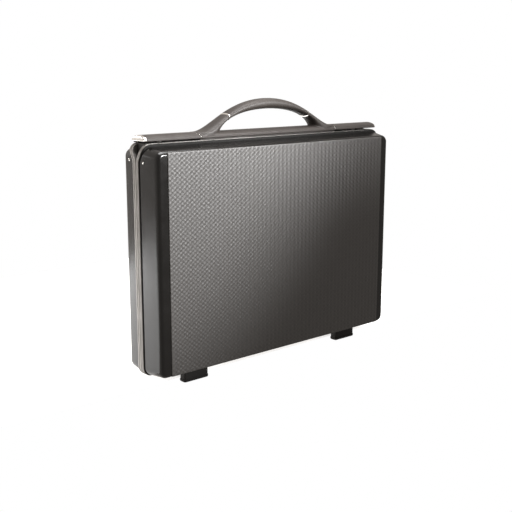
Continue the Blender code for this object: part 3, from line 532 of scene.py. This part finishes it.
def grain_panel(name, body, sign, depth):
    """Raised panel: a grid that carries the grain, a rounded border and sides that sink into the tray."""
    half = PANEL_HALF - PANEL_BEVEL
    low, high = PANEL_MARGIN + PANEL_BEVEL, HEIGHT - PANEL_MARGIN - PANEL_BEVEL
    columns = round(2 * half / GRAIN_X * GRAIN_STEPS_X)
    rows = round((high - low) / GRAIN_Z * GRAIN_STEPS_Z)
    x, z = np.meshgrid(np.linspace(-half, half, columns + 1), np.linspace(low, high, rows + 1))
    from_edge = np.minimum(half - np.abs(x), np.minimum(z - low, high - z))
    level = 0.5 + (grain(x, z) - 0.5) * smooth_step(from_edge, 0.0, GRAIN_FADE)
    points = np.stack([x, sign * (depth - GRAIN_DEPTH * (1 - level)), z], -1).reshape(-1, 3).tolist()
    quads, edge = grid(*x.shape)
    faces, values = quads.tolist(), level.reshape(-1).tolist()
    top = depth - GRAIN_DEPTH / 2
    profile = [(PANEL_BEVEL * math.sin(a), top - PANEL_BEVEL * (1 - math.cos(a))) for a in quarter(4)[1:]]
    profile.append((PANEL_BEVEL, depth - PANEL_RISE - PANEL_ROOT))
    profile = [(reach, sign * y) for reach, y in profile]
    sink_border(points, faces, edge.tolist(), profile, (half, low, high))
    values += [0.5] * (len(points) - len(values))
    piece(name, (points, faces), body, "grain", attribute=("grain", values), sharp=60.0)


def sink_border(points, faces, edge, profile, limits):
    """Add a ring outside a grid's edge for each (reach, y), and close the last one."""
    half, low, high = limits
    previous = edge
    for offset, y in profile:
        start = len(points)
        for index in edge:
            px, _, pz = points[index]
            dx, dz = (px >= half - 1e-9) - (px <= 1e-9 - half), (pz >= high - 1e-9) - (pz <= low + 1e-9)
            reach = offset * (math.sqrt(0.5) if dx and dz else 1.0)
            points.append((px + dx * reach, y, pz + dz * reach))
        ring = list(range(start, len(points)))
        faces += [(previous[i], previous[(i + 1) % len(ring)], ring[(i + 1) % len(ring)], ring[i])
                  for i in range(len(ring))]
        previous = ring
    faces.append(tuple(previous))


# ---- frames and seal -----------------------------------------------------------------------------
def rail_profile(width):
    """Outer side of a rail as (distance from the seam, inset): rounded edges and a shallow channel."""
    near, far, r = GAP, width, RAIL_ROUND
    points = [(near + r - r * math.cos(a), r - r * math.sin(a)) for a in quarter(4)]
    start, end = (near + share * (far - near) for share in CHANNEL_SPAN)
    points += [(start, 0.0), (start + CHANNEL_SLOPE, CHANNEL_DEPTH), (end - CHANNEL_SLOPE, CHANNEL_DEPTH),
               (end, 0.0)]
    points += [(far - r + r * math.sin(a), r - r * math.cos(a)) for a in quarter(4)]
    return points


def frame_rail(name, body, sign, width):
    """Extruded rail round the whole seam, with the leg that holds the tray's rim."""
    rings = [rail_ring(sign, y, inset) for y, inset in rail_profile(width)]
    rings += [rim_ring(sign, width + reach, inset) for reach, inset in RAIL_LEG]
    rings.append(rim_ring(sign, GAP, RAIL_INNER))
    piece(name + "_rail", tube(rings, around=True), body, "frame", [name], sharp=40.0)


def gasket():
    """Rubber seal on the flank of the lid's rail, with a rounded outer bead."""
    near, far = LID_RAIL + GAP, LID_RAIL + GAP + GASKET_WIDTH
    middle, half = (near + far) / 2, GASKET_WIDTH / 2
    root = 0.0030
    bead = [2 * a for a in quarter(8)]
    rings = [rim_ring(-1, near, root)]
    rings += [rail_ring(-1, middle - half * math.cos(a), GASKET_BACK + half * (1 - math.sin(a)))
              for a in bead]
    rings.append(rim_ring(-1, far, root))
    piece("lid_gasket_bead", tube(rings, around=True), "lid", "gasket", ["lid_gasket"],
          sharp=50.0)


# ---- handle and top bar --------------------------------------------------------------------------
def dome_points(y0, y1, count, drop, half):
    """Points on an elliptic crown, closer together towards its steep ends."""
    a0, a1 = math.asin(max(-1.0, y0 / half)), math.asin(min(1.0, y1 / half))
    ys = [half * math.sin(a0 + (a1 - a0) * k / count) for k in range(count + 1)]
    rise = BAR_RIDGE - BAR_LIP_HIGH
    return [(y, BAR_LIP_HIGH - drop + rise * math.sqrt(max(0.0, 1 - (y / half) ** 2))) for y in ys]


def lip_points(sign):
    """Bead along the bar's lower edge, from its underside up to the crown."""
    line = [(inset, BAR_LIP_LOW + above) for inset, above in LIP_UNDER]
    line += [(inset, BAR_LIP_HIGH + above) for inset, above in LIP_OVER]
    return [(sign * (BAR_HALF - inset), z) for inset, z in line]


CROWN_HALF = BAR_HALF - 0.0010


def crown(y0, y1):
    return dome_points(y0, y1, 40, 0.0, CROWN_HALF)


def joint_plane(side, beyond, keep_inside):
    """Slanted cut between the handle's base and a latch cover, as (point, normal)."""
    normal = Vector((side, -JOINT_SLANT, 0))
    return (side * (JOINT_X + beyond), 0, 0), (normal if keep_inside else -normal)


def arch_outer(x):
    k = abs(x) / ARCH_UNIT
    return ARCH_TOP - sum(fall * k ** (2 * power + 2) for power, fall in enumerate(ARCH_FALL))


def arch_inner(x):
    return WINDOW_LOW + WINDOW_RISE * math.sqrt(max(0.0, 1 - (x / WINDOW_HALF) ** 2))


def arch_section(outer, inner, half_depth, sides=44, power=0.85):
    """Rounded ring between an outer and an inner point of the arch, both (x, z)."""
    middle = Vector(((outer[0] + inner[0]) / 2, 0, (outer[1] + inner[1]) / 2))
    reach = Vector((outer[0], 0, outer[1])) - middle
    ring = []
    for k in range(sides):
        a = 2 * math.pi * k / sides
        along = math.copysign(abs(math.cos(a)) ** power, math.cos(a))
        across = math.copysign(abs(math.sin(a)) ** power, math.sin(a))
        ring.append(middle + reach * along + Vector((0, half_depth * across, 0)))
    return ring


def grip_slice(x0, x1, count, proud, rounding):
    """Length of the grip, with its ends drawn in a little to round them."""
    rings = []
    for k in range(count + 1):
        x = x0 + (x1 - x0) * k / count
        from_end = min(abs(x - x0), abs(x1 - x))
        grow = proud - max(0.0, rounding - from_end) ** 2 / rounding
        outer, inner = (x, arch_outer(x) + grow), (x, arch_inner(x) - grow)
        rings.append(arch_section(outer, inner, GRIP_HALF_DEPTH + grow))
    return tube(rings)


def leg(side):
    """Arch foot: fans out from the grip's ring to the bar and sinks into it."""
    start, steps = GRIP_END + RING_WIDTH + GAP, 26
    angle0 = math.asin(start / WINDOW_HALF)
    rings = []
    for k in range(steps + 1):
        t = k / steps
        xo = start + (LEG_END - start) * t
        angle = angle0 + (math.pi / 2 - angle0) * t
        inner = (side * WINDOW_HALF * math.sin(angle), WINDOW_LOW + WINDOW_RISE * math.cos(angle))
        depth = GRIP_HALF_DEPTH + (CROWN_HALF - GRIP_HALF_DEPTH) * t * t * (3 - 2 * t)
        rings.append(arch_section((side * xo, arch_outer(xo)), inner, depth))
    sunk_outer, sunk_inner = (side * LEG_SUNK, BAR_LIP_HIGH), (side * WINDOW_HALF, BAR_LIP_LOW)
    rings.append(arch_section(sunk_outer, sunk_inner, CROWN_HALF))
    return tube(rings)


def moulded(shape, voxel, smoothing):
    """Fuse overlapping shapes into one skin with soft fillets, as a moulding has."""
    obj = linked("moulding", outward_mesh("moulding", *shape))
    remesh = obj.modifiers.new("fuse", "REMESH")
    remesh.mode = "VOXEL"
    remesh.voxel_size = voxel
    smooth = obj.modifiers.new("fillet", "SMOOTH")
    smooth.factor = 0.5
    smooth.iterations = smoothing
    evaluated = obj.evaluated_get(bpy.context.evaluated_depsgraph_get())
    fused = evaluated.to_mesh()
    made = [tuple(v.co) for v in fused.vertices], [tuple(p.vertices) for p in fused.polygons]
    evaluated.to_mesh_clear()
    bpy.data.objects.remove(obj)
    return made


def handle_base():
    """Crown and both arch legs as one moulding on a crisp beaded skirt."""
    long, sunk = JOINT_X + 0.010, BAR_LIP_HIGH - 0.0012
    top = [(-CROWN_HALF, sunk)] + crown(-CROWN_HALF, CROWN_HALF) + [(CROWN_HALF, sunk)]
    fused = moulded(joined(prism(top, -long, long), leg(-1), leg(1)), voxel=0.0008, smoothing=8)
    ends = [joint_plane(side, 0.0, True) for side in SIDES]
    fused = cut(fused, *ends, ((0, 0, BAR_LIP_HIGH - 0.0004), (0, 0, -1)))
    under = [(SEAT_HALF, BAR_SEAT), (SEAT_HALF, BAR_SKIRT), (BAR_HALF - LIP_UNDER[0][0], BAR_SKIRT)]
    skirt = [(-y, z) for y, z in under] + lip_points(-1) + lip_points(1)[::-1] + under[::-1]
    skirt = cut(prism(skirt, -long, long), *ends)
    piece("handle_base_moulding", joined(fused, skirt), "case", "handle", ["handle_base"],
          sharp=42.0)


def handle():
    handle_base()
    end = GRIP_END - GAP
    grip = grip_slice(-end, end, 90, proud=0.0, rounding=0.0006)
    piece("handle_grip_moulding", grip, "case", "handle", ["handle_grip"])
    section = lip_points(-1) + crown(-CROWN_HALF, CROWN_HALF)[1:-1] + lip_points(1)[::-1]
    for side, label in SIDES.items():
        ring = grip_slice(side * GRIP_END, side * (GRIP_END + RING_WIDTH), 6, proud=RING_PROUD,
                          rounding=0.0004)
        piece("grip_ring_band_" + label, ring, "case", "chrome", ["grip_ring_" + label])
        trim = cut(prism(section, side * JOINT_BEFORE, side * JOINT_AFTER),
                   joint_plane(side, TRIM_WIDTH, True), joint_plane(side, GAP, False))
        trim = piece("joint_trim_band_" + label, trim, "case", "chrome",
                     ["joint_trim_" + label])
        bevelled(trim, 0.0002)
        end_cap(side, section)


def end_cap(side, section):
    """Bright end of the bar: its section drawn in along a quarter round."""
    rounding, middle = 0.0032, (BAR_LIP_LOW + BAR_RIDGE) / 2
    rings = [[(side * END_CAP, y, z) for y, z in section]]
    for a in quarter(8):
        x = BAR_END - rounding + rounding * math.sin(a)
        inset = rounding * (1 - math.cos(a))
        shrink_y, shrink_z = 1 - inset / BAR_HALF, 1 - inset / (BAR_RIDGE - BAR_LIP_LOW)
        rings.append([(side * x, y * shrink_y, middle + (z - middle) * shrink_z) for y, z in section])
    label = SIDES[side]
    piece("bar_end_dome_" + label, tube(rings), "case", "chrome", ["bar_end_cap_" + label],
          sharp=50.0)


# ---- latches -------------------------------------------------------------------------------------
def knuckle():
    """Knuckle outline: a round barrel about the latch's axis with a flat tongue towards -Y."""
    reach, thickness, lift = KNUCKLE_TONGUE
    (y0, z0), steps = LATCH_AXIS, 20
    arc = [math.radians(90 + 270 * k / steps) for k in range(steps + 1)]
    points = [(y0 - KNUCKLE_RADIUS * math.cos(a), z0 + KNUCKLE_RADIUS * math.sin(a)) for a in arc]
    return points + [(y0 - reach, z0 + lift), (y0 - reach, z0 + lift + thickness)]


def latch_cover(side):
    """Hinged flap: crowned, with the bar's bead along its front, hollow underneath, two knuckles."""
    slim_half = BAR_HALF - COVER_WALL - 0.0004
    section = lip_points(-1)[1:] + crown(-CROWN_HALF, COVER_REAR)[1:]
    section += dome_points(COVER_REAR, -slim_half, 24, COVER_WALL, slim_half)
    section.append((-slim_half, BAR_LIP_LOW))
    cover = cut(prism(section, side * JOINT_BEFORE, side * COVER_END),
                joint_plane(side, COVER_CLEAR, False))
    tabs = [prism(knuckle(), side * x0, side * x1) for x0, x1 in KNUCKLES]
    label = SIDES[side]
    cover = piece("latch_flap_" + label, joined(cover, *tabs), "latch_" + label, "handle",
                  ["latch_cover_" + label], sharp=42.0)
    bevelled(cover, 0.00025, 50.0)


def latch_spring(side):
    """Torsion spring on the latch pin, with one leg down on the bed."""
    (y0, z0), steps, leg_drop = LATCH_AXIS, 24, 0.0040
    path = []
    for k in range(SPRING_TURNS * steps + 1):
        a = 2 * math.pi * k / steps
        path.append((side * SPRING_START + side * SPRING_PITCH * k / steps,
                     y0 + SPRING_RADIUS * math.cos(a), z0 + SPRING_RADIUS * math.sin(a)))
    path.append((path[-1][0], y0 + SPRING_RADIUS, z0 - leg_drop))
    label = SIDES[side]
    piece("latch_spring_coil_" + label, wire(path, SPRING_WIRE, 8), "case", "steel",
          ["latch_spring_" + label])


def wire(path, radius, sides):
    """Round wire along a path."""
    path = [Vector(point) for point in path]
    rings = []
    for i, point in enumerate(path):
        ahead = (path[min(i + 1, len(path) - 1)] - path[max(i - 1, 0)]).normalized()
        across = ahead.cross(Vector((1, 0, 0)))
        across = across.normalized() if across.length > 1e-6 else Vector((0, 0, 1))
        third = ahead.cross(across)
        rings.append([point + across * radius * math.cos(2 * math.pi * k / sides)
                      + third * radius * math.sin(2 * math.pi * k / sides) for k in range(sides)])
    return tube(rings)


# ---- feet and rivets -----------------------------------------------------------------------------
def rounded_rectangle(x0, x1, y0, y1, radius):
    points, steps = [], 6
    for cx, cy, start in ((x1 - radius, y0 + radius, -90), (x1 - radius, y1 - radius, 0),
                          (x0 + radius, y1 - radius, 90), (x0 + radius, y0 + radius, 180)):
        arc = [math.radians(start + 90 * k / steps) for k in range(steps + 1)]
        points += [(cx + radius * math.cos(a), cy + radius * math.sin(a)) for a in arc]
    return points


def foot(node, body):
    """Moulded rubber foot: rounded corners, a waist above the sole's edge and a softened sole."""
    low, high = (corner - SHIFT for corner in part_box(node))
    levels = [(low.z + above, inset) for above, inset in FOOT_SOLE]
    levels += [(high.z - below, inset) for below, inset in FOOT_HEAD]
    rings = []
    for z, inset in levels:
        line = rounded_rectangle(low.x + inset, high.x - inset, low.y + inset, high.y - inset,
                                 FOOT_RADIUS)
        rings.append([(x, y, z) for x, y in line])
    piece(node + "_rubber", tube(rings), body, "foot", [node], sharp=45.0)


def rivet(node, body, side):
    """Domed rivet head on the tray's side."""
    low, high = (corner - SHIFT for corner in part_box(node))
    centre = (low + high) / 2
    radius, height = (high.z - low.z) / 2, high.x - low.x
    base = low.x if side > 0 else high.x
    circle = [2 * math.pi * k / 24 for k in range(24)]
    rings = [[(base + side * height * share, centre.y + radius * reach * math.cos(a),
               centre.z + radius * reach * math.sin(a)) for a in circle] for share, reach in RIVET_DOME]
    piece(node + "_head", tube(rings), body, "chrome", [node])


# ---- interior ------------------------------------------------------------------------------------
def lining(name, body, sign, depth, rim):
    """Fabric pressed into a tray: a soft rolled rim, thin walls and a floor that rounds up into them."""
    outer, wall, chamfer = SHELL_WALL + 2 * GAP, LINING_WALL, 0.0050
    floor = depth - PANEL_RISE - outer
    rings = [front_ring(sign * floor, outer + chamfer + 0.0002),
             front_ring(sign * (floor - chamfer), outer + GAP)]
    rings += [front_ring(sign * (rim + below), outer + inset) for below, inset in LINING_RIM]
    rings += edge_rings(sign, floor - wall, outer + wall + GAP, LINING_TURN, 8)
    piece(name + "_fabric", tube(rings), body, "lining", [name], sharp=60.0)
    margin = outer + PAD_MARGIN
    pad = cushion((margin - HALF_WIDTH, HALF_WIDTH - margin), (margin, HEIGHT - margin),
                  sign * (floor - wall), -sign * PAD_RISE)
    piece(name + "_pad", pad, body, "lining", sharp=70.0)


def cushion(x_range, z_range, base, rise):
    """Thin sewn pad: crowned, drawn in along its sides, with a puckered seam inside its edge."""
    columns, rows = 150, 110
    u, v = np.meshgrid(np.linspace(-1, 1, columns + 1), np.linspace(-1, 1, rows + 1))
    half_x, half_z = (x_range[1] - x_range[0]) / 2, (z_range[1] - z_range[0]) / 2
    x = sum(x_range) / 2 + u * (half_x - PAD_DRAWN_IN * (1 - v ** 2))
    z = sum(z_range) / 2 + v * (half_z - PAD_DRAWN_IN * (1 - u ** 2))
    from_side, from_end = half_x * (1 - np.abs(u)), half_z * (1 - np.abs(v))
    edge = np.minimum(from_side, from_end)
    crown_share = np.sqrt(1 - (1 - np.clip(edge / PAD_EDGE, 0, 1)) ** 2)
    channel = np.exp(-((edge - PAD_SEAM) / 0.0016) ** 2)
    along = np.where(from_side < from_end, z, x)
    pucker = np.exp(-((edge - PAD_SEAM) / 0.0050) ** 2) * np.sin(along * 2 * np.pi / 0.011) * 0.10
    swell = 0.12 * np.sin(x * 23 + 0.7) * np.sin(z * 31 + 2.1)
    height = rise * crown_share * (1 - 0.55 * channel + pucker + swell)
    return slab(x, z, base + height, np.full_like(x, base))


def slab(x, z, front, back):
    """Closed sheet between two grids of Y values."""
    count = x.size
    points = np.concatenate([np.stack([x, y, z], -1).reshape(-1, 3) for y in (front, back)]).tolist()
    quads, border = grid(*x.shape)
    sides = np.stack([border, np.roll(border, -1), np.roll(border, -1) + count, border + count], -1)
    return points, np.concatenate([quads, quads[:, ::-1] + count, sides]).tolist()


def pocket():
    """Leathercloth pouch on the lid's lining: bellied front, hemmed mouth, sewn down round the rest."""
    half, low, high = POCKET_HALF, POCKET_LOW, POCKET_HIGH
    back = -(LID_DEPTH - PANEL_RISE - SHELL_WALL - 3 * GAP - LINING_WALL)
    columns, rows = 120, 62
    u, v = np.meshgrid(np.linspace(-1, 1, columns + 1), np.linspace(0, 1, rows + 1))
    cut_in = POCKET_CORNER * np.clip(1 - v * (high - low) / POCKET_CORNER, 0, 1) ** 2
    x, z = u * (half - cut_in), low + v * (high - low)
    belly = (1 - np.abs(u) ** 5) * (1 - (1 - np.clip(v * 1.25, 0, 1)) ** 2.4)
    folds = 0.05 * np.sin(x * 38 + 0.8) * v + 0.03 * np.sin(x * 85 + z * 30) * v * v
    front = back + POCKET_SKIN + 0.0062 * belly * (1 - np.abs(folds))
    skin = np.maximum(front - POCKET_SKIN, back + 0.0001)
    piece("lid_pocket_pouch", slab(x, z, front, skin), "lid", "pocket", ["lid_pocket"],
          sharp=60.0)
    mouth = [(px, py - 0.0004, high - 0.0006) for px, py in zip(x[-1], front[-1])]
    piece("lid_pocket_hem", wire(mouth, POCKET_SKIN, 10), "lid", "pocket")
    lines = [[(px, py, high - 0.0070) for px, py in zip(x[-3], front[-3])],
             [(px, py, low + 0.0040) for px, py in zip(x[1], front[1])]]
    lines += [[(side * (half - 0.0040), front[r, 3] + GAP, z[r, 0]) for r in range(2, rows - 2)]
              for side in SIDES]
    stitches = [stitch for line in lines for stitch in stitching(line)]
    piece("lid_pocket_stitching", joined(*stitches), "lid", "thread")


def stitching(line):
    """Short lengths of thread, evenly spaced along a line of points."""
    line = [Vector(point) for point in line]
    walked, target, lift = 0.0, STITCH_PITCH / 2, Vector((0, STITCH_LIFT, 0))
    for a, b in zip(line, line[1:]):
        step = (b - a).length
        while walked + step >= target:
            centre, ahead = a.lerp(b, (target - walked) / step), (b - a).normalized() * STITCH_LENGTH / 2
            yield wire([centre - ahead, centre - ahead * 0.6 + lift, centre + ahead * 0.6 + lift,
                        centre + ahead], THREAD_RADIUS, 6)
            target += STITCH_PITCH
        walked += step


# ---- carried-over nodes --------------------------------------------------------------------------
def carry(node, material):
    """Keep a CAD node, weld its seams, soften its edges and give it its finish."""
    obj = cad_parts[node]
    weld = obj.modifiers.new("weld", "WELD")
    weld.merge_threshold = 0.000005
    bevelled(obj, 0.00025, 40.0)
    obj.data.materials.clear()
    obj.data.materials.append(MATERIALS[material])


# ---- camera, light, stage ------------------------------------------------------------------------
def camera():
    """Three-quarter view from the lid's left, a little above the handle."""
    yaw, pitch = CAMERA_YAW, CAMERA_PITCH
    level = math.cos(pitch)
    forward = Vector((math.sin(yaw) * level, math.cos(yaw) * level, math.sin(pitch)))
    right = Vector((math.cos(yaw), -math.sin(yaw), 0.0))
    up = right.cross(forward)
    data = bpy.data.cameras.new("camera")
    data.sensor_width, data.lens = CAMERA_SENSOR, CAMERA_LENS
    obj = linked("camera", data)
    obj.matrix_world = Matrix((right, up, -forward)).transposed().to_4x4()
    obj.location = CAMERA_PLACE
    bpy.context.scene.camera = obj


def lamp(name, kind, energy, place, aim, **settings):
    """Light at a place, turned towards a point."""
    data = bpy.data.lights.new(name, kind)
    data.energy = energy
    for key, value in settings.items():
        setattr(data, key, value)
    obj = linked(name, data)
    obj.location = place
    obj.rotation_euler = (Vector(aim) - Vector(place)).to_track_quat("-Z", "Y").to_euler()


def table():
    """Pale light table: it glows a little, as a shadow-free product table does."""
    (x0, x1), (y0, y1) = TABLE_X, TABLE_Y
    mesh = bpy.data.meshes.new("table")
    mesh.from_pydata([(x0, y0, 0), (x1, y0, 0), (x1, y1, 0), (x0, y1, 0)], [], [(0, 1, 2, 3)])
    mesh.materials.append(new_material("table_pale", (TABLE_TONE,) * 3, 0.65,
                                       Emission_Color=(1, 0.98, 0.96, 1), Emission_Strength=TABLE_GLOW))
    obj = linked("table", mesh)


def studio():
    """White to the camera; as a light, a bright backdrop behind the case and a dim room in front."""
    world = bpy.data.worlds.new("studio")
    world.use_nodes = True
    tree = world.node_tree
    room = tree.nodes["Background"]
    seen = tree.nodes.new("ShaderNodeBackground")
    seen.inputs["Color"].default_value = (1, 1, 1, 1)
    place = tree.nodes.new("ShaderNodeTexCoord")
    towards = tree.nodes.new("ShaderNodeVectorMath")
    towards.operation = "DOT_PRODUCT"
    towards.inputs[1].default_value = ROOM_TOWARDS
    level = tree.nodes.new("ShaderNodeMapRange")
    level.interpolation_type = "SMOOTHSTEP"
    for socket, number in (("From Min", ROOM_FADE[0]), ("From Max", ROOM_FADE[1]),
                           ("To Min", ROOM_DIM), ("To Max", ROOM_BRIGHT)):
        level.inputs[socket].default_value = number
    path = tree.nodes.new("ShaderNodeLightPath")
    mix = tree.nodes.new("ShaderNodeMixShader")
    for source, target in (
        (place.outputs["Generated"], towards.inputs[0]),
        (towards.outputs["Value"], level.inputs["Value"]),
        (level.outputs["Result"], room.inputs["Strength"]),
        (path.outputs["Is Camera Ray"], mix.inputs["Fac"]),
        (room.outputs[0], mix.inputs[1]), (seen.outputs[0], mix.inputs[2]),
        (mix.outputs[0], tree.nodes["World Output"].inputs["Surface"]),
    ):
        tree.links.new(source, target)
    room.inputs["Color"].default_value = (*ROOM_COLOUR, 1)
    bpy.context.scene.world = world
    bpy.context.scene.view_settings.view_transform = "Standard"
    lamps()


def lamps():
    """Two beams from the front right, a soft top light and a small lamp behind, to the left."""
    for name, (energy, aim, beam) in KEYS.items():
        lamp(name, "SPOT", energy, KEY_PLACE, aim, shadow_soft_size=KEY_SOFTNESS,
             spot_size=math.radians(beam), spot_blend=KEY_EDGE)
    lamp("top", "AREA", TOP, TOP_PLACE, (*TOP_PLACE[:2], 0), shape="SQUARE", size=TOP_SIZE)
    lamp("back", "AREA", BACK, BACK_PLACE, (*BACK_PLACE[:2], 0), shape="DISK", size=BACK_SIZE)


# ---- build ---------------------------------------------------------------------------------------
CARRIED = {
    "top_carrier": "carrier", "latch_bed_{}": "handle", "latch_hook_{}": "steel", "latch_pin_{}": "steel",
    "lid_keeper_{}": "steel", "handle_screw_{}": "steel", "hinge_leaf_body_{}": "steel",
    "hinge_leaf_lid_{}": "steel", "hinge_pin_{}": "steel", "body_stay_arm_{}": "steel",
    "lid_stay_arm_{}": "steel", "body_stay_bracket_{}": "steel", "lid_stay_bracket_{}": "steel",
}


def build():
    camera()
    table()
    studio()
    tray("lid_shell", "lid", -1, LID_DEPTH, LID_RIM)
    tray("body_shell", "case", 1, BODY_DEPTH, BODY_RIM)
    grain_panel("lid_grain_panel", "lid", -1, LID_DEPTH)
    grain_panel("body_grain_panel", "case", 1, BODY_DEPTH)
    frame_rail("lid_frame", "lid", -1, LID_RAIL)
    frame_rail("body_frame", "case", 1, BODY_RAIL)
    gasket()
    handle()
    for side, label in SIDES.items():
        latch_cover(side)
        latch_spring(side)
        for prefix, body in (("lid_", "lid"), ("body_", "case")):
            foot(prefix + "foot_" + label, body)
            rivet(prefix + "rivet_" + label, body, side)
    lining("lid_lining", "lid", -1, LID_DEPTH, LID_RAIL + SPREAD + 3 * GAP)
    lining("body_lining", "case", 1, BODY_DEPTH, BODY_RAIL + SPREAD + 3 * GAP)
    pocket()
    for pattern, material in CARRIED.items():
        for node in sorted({pattern.format(label) for label in SIDES.values()}):
            carry(node, material)


build()
